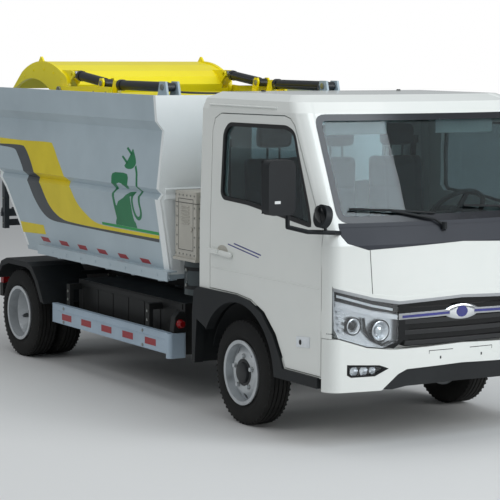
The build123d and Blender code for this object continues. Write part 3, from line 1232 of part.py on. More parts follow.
def underrun_bar():
    """Rear underrun bar on two brackets from the frame's ends."""
    front, rear = FRAME_REAR + 100, FRAME_REAR + 160
    bar = block(-800, 800, front, rear, 380, 480)
    for side in (-1, 1):
        low, high = sorted((side * (RAIL_X - RAIL_W), side * RAIL_X))
        bar = bar + side_prism([(FRAME_REAR + SEAT_GAP, 640), (FRAME_REAR + 60, 640), (rear, 480), (front, 380),
                                (front - 20, 380), (FRAME_REAR + SEAT_GAP, 500)], low, high)
    return bar


def tail_lamps():
    """Tail lamp blocks on top of the underrun bar."""
    return pair(block(520, 790, FRAME_REAR + 116, FRAME_REAR + 164, 480 + SEAT_GAP, 572))


def main():
    os.makedirs("parts", exist_ok=True)
    for side, word in ((-1, "right"), (1, "left")):
        front_tyre, front_rim = front_wheel(side)
        save(f"front_tyre_{word}", front_tyre)
        save(f"front_rim_{word}", front_rim)
        rear_tyres, rear_rims = rear_wheel(side)
        save(f"rear_tyres_{word}", rear_tyres)
        save(f"rear_rims_{word}", rear_rims)
        save(f"knuckle_{word}", knuckle(side))
        save(f"door_{word}", door(side))
        save(f"door_glass_{word}", door_glass(side))
    makers = [front_axle, rear_axle, leaf_springs, chassis_frame, tub_subframe, battery_pack, cab_shell,
              windscreen, rear_window, cowl_panel, front_bumper, lower_bumper, grille, front_lamps, dashboard,
              steering_wheel, seats, mirrors, wipers, arch_flares, side_guards, guard_posts, rear_mudguards,
              cabinet, oil_tank,
              underrun_bar, tail_lamps, packer_blade, packer_carriage, push_barrels, swing_barrels,
              swing_rods, tip_barrel, tip_rod, bin_lifter]
    for maker in makers:
        save(maker.__name__, maker())
    for name, piece in tub_pieces().items():
        save(name, piece)


main()
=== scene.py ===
import json
import math

import bmesh
import bpy
from mathutils import Matrix, Vector


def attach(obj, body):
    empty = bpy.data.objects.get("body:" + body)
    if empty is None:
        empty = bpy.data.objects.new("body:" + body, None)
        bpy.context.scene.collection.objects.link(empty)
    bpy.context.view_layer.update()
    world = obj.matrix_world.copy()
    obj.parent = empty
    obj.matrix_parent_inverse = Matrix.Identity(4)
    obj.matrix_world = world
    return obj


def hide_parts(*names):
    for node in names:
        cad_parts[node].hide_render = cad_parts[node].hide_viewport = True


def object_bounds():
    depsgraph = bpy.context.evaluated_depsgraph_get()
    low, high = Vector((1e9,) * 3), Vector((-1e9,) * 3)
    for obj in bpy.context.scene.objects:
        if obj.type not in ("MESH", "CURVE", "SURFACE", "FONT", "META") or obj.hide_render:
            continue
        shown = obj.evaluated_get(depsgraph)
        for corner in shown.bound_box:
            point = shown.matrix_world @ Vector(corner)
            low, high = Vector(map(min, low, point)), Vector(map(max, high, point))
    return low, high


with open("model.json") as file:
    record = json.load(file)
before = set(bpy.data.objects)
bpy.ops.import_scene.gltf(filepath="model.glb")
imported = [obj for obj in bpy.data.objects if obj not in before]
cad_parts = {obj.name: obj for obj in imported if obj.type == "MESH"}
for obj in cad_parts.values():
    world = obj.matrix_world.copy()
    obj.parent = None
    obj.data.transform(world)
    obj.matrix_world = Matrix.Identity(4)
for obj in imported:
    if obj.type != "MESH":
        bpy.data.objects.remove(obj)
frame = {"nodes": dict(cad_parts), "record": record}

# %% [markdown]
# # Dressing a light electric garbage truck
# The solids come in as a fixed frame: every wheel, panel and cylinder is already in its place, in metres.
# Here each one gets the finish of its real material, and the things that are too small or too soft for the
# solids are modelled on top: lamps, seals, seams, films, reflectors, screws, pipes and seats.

cad_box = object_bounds()
nodes = frame["nodes"]
joint_at = {joint["name"]: joint.get("pos_m") for joint in frame["record"]["behaviour"]["joints"]}
AXLE_Y = joint_at["steer_right"][1]
SIDES = ((-1, "right"), (1, "left"))


def place(x, y, z):
    """Millimetres, with y measured from the front axle rearward, to metres in the frame."""
    return Vector((x / 1000, y / 1000 + AXLE_Y, z / 1000))


def pivot(joint):
    """Where a joint of the frame turns, in millimetres from the front axle, as (x, y, z)."""
    x, y, z = joint_at[joint]
    return round(x * 1000, 3), round((y - AXLE_Y) * 1000, 3), round(z * 1000, 3)


FRONT_WHEEL_X, _, TYRE_R = pivot("front_wheel_spin_left")
OUTER_TWIN_X, WHEELBASE, _ = pivot("rear_wheel_spin_left")
BLADE_PIN = pivot("blade_swing")[1:]
SWING_FOOT = pivot("swing_cylinder_swing")[1:]
LIFTER_PIN = pivot("lifter_swing")[1:]
print("front axle at y", AXLE_Y, "wheelbase", WHEELBASE, "mm, nodes", len(nodes))

# %% [markdown]
# ## Small tools
# Almost everything on a truck is bent sheet, turned steel or moulded plastic. So four tools are enough: a
# slab (an outline pushed along one axis), a bar (a round length between two points), a turned shape (a
# profile spun round an axis) and a skin (a plate that follows a curved panel). Each adds to one bmesh,
# and a last tool makes the bmesh a named piece that rides on its body. A brick and a stud are short ways
# to call the first two. The same shapes could be drawn by hand in the editor, but a call with real sizes
# is quicker to read and to change.

# %% Slabs, bars and turned shapes
def slab(bm, points, axis, start, end):
    """Outline of two coordinates in millimetres, pushed along the third from start to end."""
    spot = {"x": lambda a, b, c: (c, a, b),
            "y": lambda a, b, c: (a, c, b),
            "z": lambda a, b, c: (a, b, c)}[axis]
    ring = [bm.verts.new(place(*spot(a, b, start))) for a, b in points]
    face = bm.faces.new(ring)
    made = bmesh.ops.extrude_face_region(bm, geom=[face])["geom"]
    moved = [item for item in made if isinstance(item, bmesh.types.BMVert)]
    bmesh.ops.translate(bm, verts=moved, vec=place(*spot(0, 0, end)) - place(*spot(0, 0, start)))
    return ring + moved


def brick(bm, x0, x1, y0, y1, z0, z1):
    """Straight block between two corners."""
    slab(bm, [(x0, y0), (x1, y0), (x1, y1), (x0, y1)], "z", z0, z1)


def bar(bm, start, end, radius, sides=24, tip=None):
    """Round or six-sided length between two points; tip is its far radius where it tapers."""
    near, far = place(*start), place(*end)
    turn = (far - near).to_track_quat("Z", "Y").to_matrix().to_4x4()
    middle = Matrix.Translation((near + far) / 2)
    wide, narrow = radius / 1000, (radius if tip is None else tip) / 1000
    bmesh.ops.create_cone(bm, cap_ends=True, segments=sides, radius1=wide, radius2=narrow,
                          depth=(far - near).length, matrix=middle @ turn)


def stud(bm, x, y, z, out, radius, sides=6):
    """Bolt head or screw on a face that looks sideways: from x outward by out, on the side that x lies on."""
    bar(bm, (x, y, z), (x + math.copysign(out, x), y, z), radius, sides)


def turned(bm, profile, centre, axis, steps=48):
    """Profile of (distance along the axis, radius) in millimetres, spun a full turn."""
    spindle = Vector(axis).normalized()
    arm = spindle.orthogonal().normalized()
    middle = place(*centre)
    ring = [bm.verts.new(middle + spindle * along / 1000 + arm * radius / 1000) for along, radius in profile]
    edges = [bm.edges.new(pair) for pair in zip(ring, ring[1:])]
    bmesh.ops.spin(bm, geom=ring + edges, cent=middle, axis=spindle, angle=math.tau, steps=steps,
                   use_merge=True)

# %% The tool that finishes a piece
WELD = 1e-6  # metres within which two points are one


def keep(bm, name, material, body="root", bevel=0.0, stands_for=(), sharp=32.0):
    """Makes a bmesh a piece: welded, facing outward, smooth below the sharp angle, riding on its body."""
    bmesh.ops.remove_doubles(bm, verts=bm.verts, dist=WELD)
    bmesh.ops.recalc_face_normals(bm, faces=bm.faces)
    mesh = bpy.data.meshes.new(name)
    bm.to_mesh(mesh)
    bm.free()
    return settle(mesh, name, material, body, bevel, stands_for, sharp)


def settle(mesh, name, material, body, bevel=0.0, stands_for=(), sharp=32.0):
    """Makes a mesh an object with its material, edges and body. bevel is in millimetres, sharp in degrees."""
    for face in mesh.polygons:
        face.use_smooth = True
    mesh.set_sharp_from_angle(angle=math.radians(sharp))
    mesh.materials.append(material)
    piece = bpy.data.objects.new(name, mesh)
    bpy.context.collection.objects.link(piece)
    if bevel:
        edge = piece.modifiers.new("edge", "BEVEL")
        edge.width = bevel / 1000
        edge.segments = 2
        edge.limit_method = "ANGLE"
        edge.angle_limit = math.radians(sharp)
        edge.harden_normals = True
    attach(piece, body)
    if stands_for:
        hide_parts(*stands_for)
    print("made", name, "with", len(mesh.polygons), "faces, riding on", body)
    return piece

# %% Pipes and rods along a route
def pipe(name, routes, radius, material, body="root", order=3):
    """Round tubes along routes of points in millimetres, made a mesh. Order 2 gives straight runs."""
    curve = bpy.data.curves.new(name, "CURVE")
    curve.dimensions = "3D"
    curve.bevel_depth = radius / 1000
    curve.bevel_resolution = 3
    curve.use_fill_caps = True
    curve.resolution_u = 8
    for route in routes:
        spline = curve.splines.new("NURBS")
        spline.points.add(len(route) - 1)
        for point, spot in zip(spline.points, route):
            point.co = (*place(*spot), 1.0)
        spline.order_u = order
        spline.use_endpoint_u = True
    holder = bpy.data.objects.new(name + "_route", curve)
    mesh = bpy.data.meshes.new_from_object(holder)
    bpy.data.objects.remove(holder)
    return settle(mesh, name, material, body)

# %% [markdown]
# ## The panels' own shapes
# Lamps, seals and films have to lie on the cab and the tub without gaps, so the script needs to know
# where those panels are. The cab is drawn as plan sections at several heights: a flat flank, a tight
# corner arc and a wide shallow arc over the nose. The tub's flank is a row of folds, each at its own
# height.

# %% Where the cab's and the tub's faces are
CAB_PLAN = [  # height, half width, flank end, corner x and y, nose
    (300.0, 873.0, -905.0, 792.0, -1020.0, -1095.0), (1195.0, 873.0, -905.0, 792.0, -1020.0, -1095.0),
    (1310.0, 870.0, -850.0, 775.0, -955.0, -1042.0), (1935.0, 853.0, -535.0, 745.0, -635.0, -722.0),
    (1998.0, 832.0, -490.0, 715.0, -570.0, -655.0), (2038.0, 760.0, -400.0, 640.0, -470.0, -540.0)]
CORNER_OUT, CORNER_BACK = 0.26, 0.2  # bulge of the corner arc past its chord, as shares of width and depth
TUB_FOLDS = [  # height, half width
    (800.0, 830.0), (860.0, 832.0), (1325.0, 905.0), (1358.0, 880.0), (1392.0, 915.0),
    (1770.0, 873.0), (1832.0, 926.0), (2000.0, 940.0)]


def between(rows, height):
    """Row of a table interpolated at a height."""
    for low, high in zip(rows, rows[1:]):
        if height <= high[0]:
            break
    share = (height - low[0]) / (high[0] - low[0])
    return [a + (b - a) * share for a, b in zip(low, high)]


def arc_y(x, first, second, third):
    """Front side of the circle through three plan points, at x."""
    (ax, ay), (bx, by), (cx, cy) = first, second, third
    d = 2 * (ax * (by - cy) + bx * (cy - ay) + cx * (ay - by))
    squares = (ax * ax + ay * ay, bx * bx + by * by, cx * cx + cy * cy)
    mid_x = (squares[0] * (by - cy) + squares[1] * (cy - ay) + squares[2] * (ay - by)) / d
    mid_y = (squares[0] * (cx - bx) + squares[1] * (ax - cx) + squares[2] * (bx - ax)) / d
    radius = math.hypot(ax - mid_x, ay - mid_y)
    return mid_y - math.sqrt(max(radius * radius - (x - mid_x) ** 2, 0.0))


def cab_front(x, z):
    """Y of the cab's front face."""
    _, half, flank, corner_x, corner_y, nose = between(CAB_PLAN, z)
    x = min(abs(x), half)
    if x <= corner_x:
        return arc_y(x, (-corner_x, corner_y), (0, nose), (corner_x, corner_y))
    mid_x = (half + corner_x) / 2 + (half - corner_x) * CORNER_OUT
    mid_y = (flank + corner_y) / 2 + (corner_y - flank) * CORNER_BACK
    return arc_y(x, (corner_x, corner_y), (mid_x, mid_y), (half, flank))


def cab_flank(y, z):
    """Half width of the cab."""
    return between(CAB_PLAN, z)[1]


def tub_flank(y, z):
    """Half width of the tub."""
    return between(TUB_FOLDS, z)[1]


NOSE_TIP = (cad_box[0][1] - AXLE_Y) * 1000
NOSE_CUTS = [(0, side * x) for side in (-1, 1) for x in
             (100, 200, 300, 400, 500, 600, 700, 760, 792, 810, 825, 838, 850, 860, 867)] + [(0, 0)]
SCREEN_CUTS = NOSE_CUTS + [(1, z) for z in (1195.0, 1310.0, 1935.0, 1998.0)]
FOLD_CUTS = [(1, z) for z, _ in TUB_FOLDS]
print("nose tip at", round(NOSE_TIP), "mm")
print("half widths: cab", cab_flank(0, 1000), "mm, tub", tub_flank(0, 1000), "mm")

# %% [markdown]
# ## Skins, rounded outlines and lofts
# A lamp cover or a film is a thin plate that lies on a curved panel. It could be projected with a
# Shrinkwrap modifier, but the faces are known by formula here. So the flat outline is cut where the panel
# bends, pushed to a plate, and each of its points is put on the panel or just under it. Corners are
# rounded by curves between two points of tangency, and a loft joins a row of rings that have as many
# points each.

# %% Skins on the panels
def skin(bm, points, axis, surface, proud, depth, cuts, side=1, ring=0.0):
    """Plate whose outer face stands proud of a panel and whose back lies depth behind it.
    The outline is (x, z) with axis y for the front, or (y, z) with axis x for a flank.
    A ring width keeps only a rim."""
    flat = bmesh.new()
    face = flat.faces.new([flat.verts.new((a, b, 0)) for a, b in points])
    face.normal_update()
    if ring:
        bmesh.ops.inset_region(flat, faces=[face], thickness=ring, use_boundary=True, use_even_offset=True)
        bmesh.ops.delete(flat, geom=[face], context="FACES")
    for index, value in cuts:
        span = [v.co[index] for v in flat.verts]
        if min(span) < value < max(span):
            everything = flat.verts[:] + flat.edges[:] + flat.faces[:]
            spot, normal = [0, 0, 0], [0, 0, 0]
            spot[index], normal[index] = value, 1
            bmesh.ops.bisect_plane(flat, geom=everything, plane_co=spot, plane_no=normal)
    made = bmesh.ops.extrude_face_region(flat, geom=flat.faces[:])["geom"]
    outer = {v for v in made if isinstance(v, bmesh.types.BMVert)}
    for vert in flat.verts:
        a, b, _ = vert.co
        lift = proud if vert in outer else -depth
        if axis == "y":
            vert.co = place(a, max(surface(a, b) - lift, NOSE_TIP), b)
        else:
            vert.co = place(side * (surface(a, b) + lift), a, b)
    part = bpy.data.meshes.new("part")
    flat.to_mesh(part)
    flat.free()
    bm.from_mesh(part)
    bpy.data.meshes.remove(part)


def on_nose(bm, outline, proud, depth, ring=0.0, cuts=NOSE_CUTS):
    """Skin on the cab's front face from an outline of (x, z)."""
    skin(bm, outline, "y", cab_front, proud, depth, cuts, ring=ring)

# %% Rounded outlines and lofts
def rounded(points, radius, steps=5):
    """Outline with its corners turned into arcs, drawn as curves between their tangent points."""
    line = []
    share = 0.45  # of a side at most, so that the arcs of two corners never meet
    for index, corner in enumerate(points):
        here = Vector(corner)
        before, after = Vector(points[index - 1]) - here, Vector(points[(index + 1) % len(points)]) - here
        reach = min(radius, before.length * share, after.length * share)
        start, end = here + before.normalized() * reach, here + after.normalized() * reach
        for step in range(steps + 1):
            t = step / steps
            line.append(tuple(start * (1 - t) ** 2 + here * 2 * t * (1 - t) + end * t * t))
    return line


def loft(bm, rings):
    """Joins closed rings of points in metres by quads and closes both ends."""
    rows = [[bm.verts.new(point) for point in ring] for ring in rings]
    for low, high in zip(rows, rows[1:]):
        for index in range(len(low)):
            after = (index + 1) % len(low)
            bm.faces.new([low[index], low[after], high[after], high[index]])
    bm.faces.new(rows[0])
    bm.faces.new(rows[-1])

# %% [markdown]
# ## Finishes
# Each finish starts from how the surface was made. Sprayed enamel is smooth with a faint orange peel;
# moulded plastic has a fine grain; steel under the truck is dusty. One function lays all of these: two
# close colours mixed by a noise of a real size, a roughness that wanders a little, and a bump of a real
# height. Patterns read Object coordinates, which are metres of the truck, so a scale is one over a size
# in metres.

# %% Colours and nodes
def shade(code):
    """sRGB hex to the linear colour that a shader takes."""
    parts = [int(code[i:i + 2], 16) / 255 for i in (0, 2, 4)]
    return tuple(c / 12.92 if c <= 0.04045 else ((c + 0.055) / 1.055) ** 2.4 for c in parts) + (1.0,)


def add(tree, kind, values=None, links=None, **settings):
    """Adds one node with its settings, its input values and the sockets that feed it."""
    node = tree.nodes.new(kind)
    for key, value in settings.items():
        setattr(node, key, value)
    for key, value in (values or {}).items():
        node.inputs[key].default_value = value
    for key, socket in (links or {}).items():
        tree.links.new(socket, node.inputs[key])
    return node


def blank(name):
    """Empty material with its tree."""
    material = bpy.data.materials.new(name)
    material.use_nodes = True
    material.node_tree.nodes.clear()
    return material, material.node_tree

# %% The finish that most surfaces take
FINE_CLOUDS = {"Detail": 4.0, "Roughness": 0.6}
CLOUD_EDGES = {"From Min": 0.35, "From Max": 0.65}
DUST_TOP, DUST_BOTTOM = 0.9, 0.1  # metres above the ground between which road dust fades in
ROAD_DUST = "8A8478"


def finish(name, colour, other, spot_mm, rough, rough_spread=0.06, bump_mm=0.0, grain_mm=4.0, dust=0.0,
           **shader):
    """Two close colours in a noise of spot_mm, wandering roughness and a bump of bump_mm at grain_mm.
    dust is how much road dust gathers near the ground."""
    material, tree = blank(name)
    where = add(tree, "ShaderNodeTexCoord").outputs["Object"]
    clouds = add(tree, "ShaderNodeTexNoise", {"Scale": 1000 / spot_mm, **FINE_CLOUDS},
                 {"Vector": where}).outputs["Fac"]
    ramp = add(tree, "ShaderNodeMapRange", CLOUD_EDGES, {"Value": clouds})
    base = add(tree, "ShaderNodeMix", {6: shade(colour), 7: shade(other)}, {0: ramp.outputs["Result"]},
               data_type="RGBA")
    colour_out = base.outputs[2]
    if dust:
        height = add(tree, "ShaderNodeSeparateXYZ", links={"Vector": where}).outputs["Z"]
        low = add(tree, "ShaderNodeMapRange", {"From Min": DUST_TOP, "From Max": DUST_BOTTOM, "To Max": dust},
                  {"Value": height})
        patch = add(tree, "ShaderNodeMath", links={0: low.outputs["Result"], 1: clouds}, operation="MULTIPLY")
        colour_out = add(tree, "ShaderNodeMix", {7: shade(ROAD_DUST)}, {0: patch.outputs[0], 6: colour_out},
                         data_type="RGBA").outputs[2]
    gloss = add(tree, "ShaderNodeMapRange", {"To Min": rough - rough_spread, "To Max": rough + rough_spread},
                {"Value": clouds})
    body = add(tree, "ShaderNodeBsdfPrincipled", shader,
               {"Base Color": colour_out, "Roughness": gloss.outputs["Result"]})
    if bump_mm:
        grain = add(tree, "ShaderNodeTexNoise", {"Scale": 1000 / grain_mm, "Detail": 2.0}, {"Vector": where})
        relief = add(tree, "ShaderNodeBump", {"Strength": 1.0, "Distance": bump_mm / 1000},
                     {"Height": grain.outputs["Fac"]})
        tree.links.new(relief.outputs["Normal"], body.inputs["Normal"])
    add(tree, "ShaderNodeOutputMaterial", links={"Surface": body.outputs["BSDF"]})
    return material

# %% [markdown]
# ## Paints
# A cab is dipped, sprayed and baked, and has a clear coat, so it mirrors softly. The tub, the guards and
# the cabinet have one coat of thicker enamel with a broad, dull highlight and a fine orange peel. The
# frame and the parts under it are brushed or sprayed black and gather dust. An image of worn paint could
# do this as well, but it would show its repeats on panels this long.

# %% Paints
ENAMEL = {"Coat Weight": 0.5, "Coat Roughness": 0.06}
THIN_COAT = {"Coat Weight": 0.15}
MATT = {"Specular IOR Level": 0.3}
# Baked white under a clear coat: a sharp highlight on a colour that is even from afar.
cab_enamel = finish("white_baked_enamel", "E9EBE7", "E2E5E1", 900, 0.26, 0.04, 0.02, 5.0, 0.04, **ENAMEL)
# Sprayed silver grey, thick and a little rippled: the folds show as soft bands.
tub_enamel = finish("silver_grey_polyester_enamel", "B6C5CD", "ABBAC2", 700, 0.42, 0.06, 0.03, 6.0, 0.1)
# Painted light: the tub's silver coat drawn near white on the end walls, so that the front wall looks fully
# lit though the cab shades it. Its rounded corners catch the light.
painted_lit_tub_enamel = finish("silver_grey_enamel_painted_lit", "F3F7F7", "ECF1F1", 700, 0.4, 0.06, 0.03, 6.0, 0.08)
# Pale blue grey over folded planks, dusty near the road.
guard_enamel = finish("pale_grey_enamel", "AFC2D2", "A3B6C6", 400, 0.4, 0.06, 0.03, 6.0, 0.12)
# Strong lemon yellow with a thin clear coat, so that the packer stands out.
yellow_enamel = finish("lemon_yellow_enamel", "FFEE00", "FAE600", 500, 0.4, 0.05, 0.02, 6.0, 0.0, **THIN_COAT)
# Rough black, which shows mostly by its dust.
frame_enamel = finish("black_chassis_enamel", "101214", "171A1C", 120, 0.5, 0.1, 0.06, 3.0, 0.12, **MATT)
# Smooth satin black: long highlights along the barrels.
cylinder_enamel = finish("satin_black_enamel", "15171A", "1E2124", 150, 0.36, 0.08, 0.02, 4.0)
# Worn dark grey, dustier than the rest.
lifter_enamel = finish("dark_grey_enamel", "3A3F43", "30353A", 200, 0.45, 0.08, 0.04, 4.0, 0.2)
# Textured beige grey as on electric cabinets: no sharp highlight at all.
cabinet_enamel = finish("beige_grey_texture_enamel", "BDBAB0", "B2AFA6", 260, 0.5, 0.06, 0.08, 2.5, 0.1)
# Plain dark blue grey on the oil tank.
tank_enamel = finish("grey_tank_enamel", "394346", "333C3F", 200, 0.45, 0.08, 0.04, 4.0, 0.08)
# Aluminium flakes in the coat: a soft metallic sheen.
rim_enamel = finish("silver_wheel_enamel", "C8CCCF", "BBC0C3", 60, 0.36, 0.08, 0.03, 3.0, 0.04, Metallic=0.45)
print("paints", cab_enamel.name, "to", rim_enamel.name)

# %% [markdown]
# ## Metals, plastics, rubber and films
# Plated parts take their look from what they mirror, so they only differ by roughness. Mouldings have the
# grain of their mould, rubber is dull and films are flat colour. A real mould's grain is well under a
# millimetre; it is drawn at 1.6 mm or more, because a finer one wouldn't show from this far.

# %% Metals
# Polished plate on the pod: nearly a mirror.
chrome = finish("chrome_plate", "D5D8DB", "C9CDD0", 300, 0.12, 0.04, Metallic=1.0)
# Satin plate on the trim: bright without a clear reflection in it.
satin_trim = finish("satin_chrome_trim", "AEB1B4", "A5A8AB", 300, 0.34, 0.05, Metallic=0.8)
# Ground and plated rods: a long thin highlight.
rod_chrome = finish("hard_chrome", "BFC2C5", "B2B6B9", 120, 0.2, 0.05, Metallic=1.0)
# Zinc on bolts and pin heads: grey and cloudy.
steel = finish("zinc_plated_steel", "A2A49F", "8F918D", 30, 0.38, 0.1, 0.02, 2.0, Metallic=0.9)
# Sand cast knuckles under black paint: coarse and dull.
cast_iron = finish("black_cast_iron", "161718", "1E1D1C", 40, 0.62, 0.1, 0.25, 2.0, 0.2)
# Aluminium evaporated on a lamp's tray: bright and slightly wavy.
reflector = finish("metallised_reflector", "EEF0F2", "DDE1E5", 40, 0.2, 0.05, 0.04, 14.0, Metallic=0.7)
# Silver behind glass.
mirror_glass = finish("silvered_mirror_glass", "CDD3D6", "C6CCCF", 200, 0.04, 0.02, Metallic=1.0)
print("metals", chrome.name, "to", mirror_glass.name)

# %% Plastics and rubber
# Grained black polypropylene: grey sheen at a low angle.
moulding = finish("black_grained_plastic", "15181B", "1C2023", 300, 0.52, 0.06, 0.06, 1.6, 0.04, **MATT)
# Polished black on the grille and bezels: deep, with a clear highlight.
gloss_black = finish("gloss_black_plastic", "0A0B0D", "0F1113", 300, 0.2, 0.04, **MATT)
# Ceramic fired on glass: dark grey and smooth.
screen_border = finish("fired_ceramic_border", "1E2025", "24262C", 300, 0.22, 0.04)
# The grille's bars, a shade above the black behind them.
grille_plastic = finish("grille_bar_plastic", "1B1D1F", "17191B", 300, 0.3, 0.04)
# Unpainted cowl in dark grey: dull, as it lies in the sun.
cowl_plastic = finish("dark_grey_moulded_plastic", "35383F", "30333A", 600, 0.5, 0.05, 0.04, 1.6, **MATT)
# Soft grey inside the cab.
trim_plastic = finish("interior_grey_plastic", "3C4145", "34393D", 400, 0.6, 0.06, 0.05, 2.0)
# Extruded seals: black without a highlight.
rubber = finish("black_seal_rubber", "121315", "191B1D", 80, 0.6, 0.08, 0.04, 2.0)
# Tyres: the dullest black of all, with dust low down.
tyre_rubber = finish("tyre_rubber", "0E0F10", "151617", 90, 0.78, 0.08, 0.12, 2.5, 0.06, **MATT)
print("plastics", moulding.name, "to", tyre_rubber.name)

# %% Films, lacquer and coloured acrylic
# Reflective red: small cells that break up the highlight.
red_reflex = finish("red_reflective_film", "A5202C", "921A26", 9, 0.3, 0.06, 0.05, 3.0)
# Cut films: flat colour with a soft gloss.
white_film = finish("white_film", "DDE0DF", "D2D5D4", 120, 0.4)
yellow_film = finish("yellow_film", "E9D313", "DFC90F", 300, 0.36)
grey_film = finish("dark_grey_film", "484D51", "42474B", 300, 0.4)
green_film = finish("green_film", "18A04B", "149447", 300, 0.36)
sign_film = finish("deep_green_film", "0C7A4A", "0A7245", 300, 0.36)
# Blue lacquer under a clear coat: deep and glossy.
blue_trim = finish("blue_lacquer", "2B2F86", "24286F", 120, 0.2, 0.04, **ENAMEL)
# Moulded lenses with small prisms, seen here as a fine bump.
red_lens = finish("red_acrylic", "8E1216", "7C0E12", 20, 0.18, 0.04, 0.1, 4.0)
amber_lens = finish("amber_acrylic", "D0741A", "C26A16", 20, 0.18, 0.04, 0.1, 4.0)
# Milky acrylic that spreads light: pale even when it is off.
warm_light = finish("light_guide_acrylic", "E8ECF0", "DDE2E6", 30, 0.2, 0.04)
print("films and lenses", red_reflex.name, "to", warm_light.name)

# %% [markdown]
# ## Glass
# Safety glass is tinted green grey and lets the cab's inside show; a lamp's cover is clear acrylic with a
# slightly higher index. Both take full transmission. A mix of glossy and transparent would be faster, but
# it would lose the darker edge that a real pane shows.

# %% Glass
SCRATCH_MM, HAZE = 40.0, 0.03  # size of the patches in which the gloss wanders, and by how much


def clear(name, tint, ior):
    """See-through glass or acrylic with a little uneven gloss."""
    material, tree = blank(name)
    where = add(tree, "ShaderNodeTexCoord").outputs["Object"]
    haze = add(tree, "ShaderNodeTexNoise", {"Scale": 1000 / SCRATCH_MM, "Detail": 3.0}, {"Vector": where})
    gloss = add(tree, "ShaderNodeMapRange", {"To Max": HAZE}, {"Value": haze.outputs["Fac"]})
    body = add(tree, "ShaderNodeBsdfPrincipled",
               {"Base Color": shade(tint), "Transmission Weight": 1.0, "IOR": ior},
               {"Roughness": gloss.outputs["Result"]})
    add(tree, "ShaderNodeOutputMaterial", links={"Surface": body.outputs["BSDF"]})
    return material


window_glass = clear("green_tinted_safety_glass", "A9BCC0", 1.45)
lens_acrylic = clear("clear_acrylic", "F2F5F7", 1.47)
print("glass", window_glass.name, "and", lens_acrylic.name)

# %% [markdown]
# ## The solids' own finishes
# Each solid of the frame gets one finish, chosen by what the real part is made of. The table goes from
# finish to solids, because a workshop also paints all parts of one colour together.

# %% The solids' materials
SOLID_FINISH = {
    cab_enamel: ("cab_shell", "front_bumper", "door_right", "door_left"),
    tub_enamel: ("tub_floor", "tub_sides", "tub_top_frame"),
    # The end walls take a near-white copy of the tub's silver coat: painted light on the front wall, which
    # the cab shades.
    painted_lit_tub_enamel: ("tub_ends",),
    guard_enamel: ("side_guards",),
    yellow_enamel: ("packer_blade", "packer_carriage"),
    frame_enamel: ("chassis_frame", "tub_subframe", "front_axle", "rear_axle", "underrun_bar", "leaf_springs",
                   "battery_pack", "tip_barrel", "guard_posts"),
    cylinder_enamel: ("push_barrels", "swing_barrels"),
    rod_chrome: ("swing_rods", "tip_rod"),
    lifter_enamel: ("bin_lifter",),
    cabinet_enamel: ("cabinet",),
    tank_enamel: ("oil_tank",),
    cast_iron: ("knuckle_right", "knuckle_left"),
    rim_enamel: ("front_rim_right", "front_rim_left", "rear_rims_right", "rear_rims_left"),
    moulding: ("mirrors", "wipers", "arch_flares", "rear_mudguards", "lower_bumper", "steering_wheel"),
    gloss_black: ("grille",),
    cowl_plastic: ("cowl_panel",),
    trim_plastic: ("dashboard",),
    window_glass: ("windscreen", "rear_window", "door_glass_right", "door_glass_left"),
    red_lens: ("tail_lamps",)}
for material, names in SOLID_FINISH.items():
    for name in names:
        nodes[name].data.materials.clear()
        nodes[name].data.materials.append(material)
print("finishes laid on", sum(len(names) for names in SOLID_FINISH.values()), "solids")

# %% [markdown]
# ## Camera, floor and light
# A long lens well back from the truck keeps its sides nearly parallel. The floor is plain and pale, and
# big soft lamps stand for an overcast sky: the nose is turned to the light and the right side is in soft
# shade. A sky image would light it too, but lamps can be placed so that the windscreen mirrors one on
# half its width.

# %% Camera
LENS_MM, SENSOR_MM = 140.37, 36.0
CAMERA_SPOT = (-6975, -10133, 2330)
YAW, PITCH, ROLL = math.radians(31.383), math.radians(6.013), math.radians(0.375)
camera_data = bpy.data.cameras.new("camera")
camera_data.lens = LENS_MM
camera_data.sensor_width = SENSOR_MM
camera_data.clip_end = 200.0
camera = bpy.data.objects.new("camera", camera_data)
bpy.context.collection.objects.link(camera)
heading = Vector((math.sin(YAW) * math.cos(PITCH), math.cos(YAW) * math.cos(PITCH), -math.sin(PITCH)))
camera.rotation_mode = "QUATERNION"
camera.rotation_quaternion = heading.to_track_quat("-Z", "Y") @ Matrix.Rotation(ROLL, 3, "Z").to_quaternion()
camera.location = place(*CAMERA_SPOT)
bpy.context.scene.camera = camera
bpy.context.scene.view_settings.view_transform = "Standard"
print("camera at", tuple(round(value, 2) for value in camera.location))

# %% Floor
FLOOR_HALF = 60.0
floor_shape = bmesh.new()
bmesh.ops.create_grid(floor_shape, x_segments=1, y_segments=1, size=FLOOR_HALF)
floor_mesh = bpy.data.meshes.new("floor")
floor_shape.to_mesh(floor_mesh)
floor_shape.free()
floor = bpy.data.objects.new("floor", floor_mesh)
bpy.context.collection.objects.link(floor)
floor_coat, tree = blank("pale_matte_floor")
floor_body = add(tree, "ShaderNodeBsdfPrincipled", {"Base Color": shade("D9D9D8"), "Roughness": 0.9})
add(tree, "ShaderNodeOutputMaterial", links={"Surface": floor_body.outputs["BSDF"]})
floor_mesh.materials.append(floor_coat)
print("floor", 2 * FLOOR_HALF, "m wide")

# %% Sky and lamps
SKY_STRENGTH = 0.4
world = bpy.data.worlds.new("studio")
bpy.context.scene.world = world
world.use_nodes = True
world.node_tree.nodes.clear()
tree = world.node_tree
rays = add(tree, "ShaderNodeLightPath")
seen = add(tree, "ShaderNodeMath",
           links={0: rays.outputs["Is Camera Ray"], 1: rays.outputs["Is Transmission Ray"]},
           operation="MAXIMUM")
soft = add(tree, "ShaderNodeBackground", {"Color": shade("E6EBEF"), "Strength": SKY_STRENGTH})
white = add(tree, "ShaderNodeBackground", {"Color": (1, 1, 1, 1), "Strength": 1.0})
both = add(tree, "ShaderNodeMixShader", links={0: seen.outputs[0], 1: soft.outputs[0], 2: white.outputs[0]})
add(tree, "ShaderNodeOutputWorld", links={"Surface": both.outputs[0]})


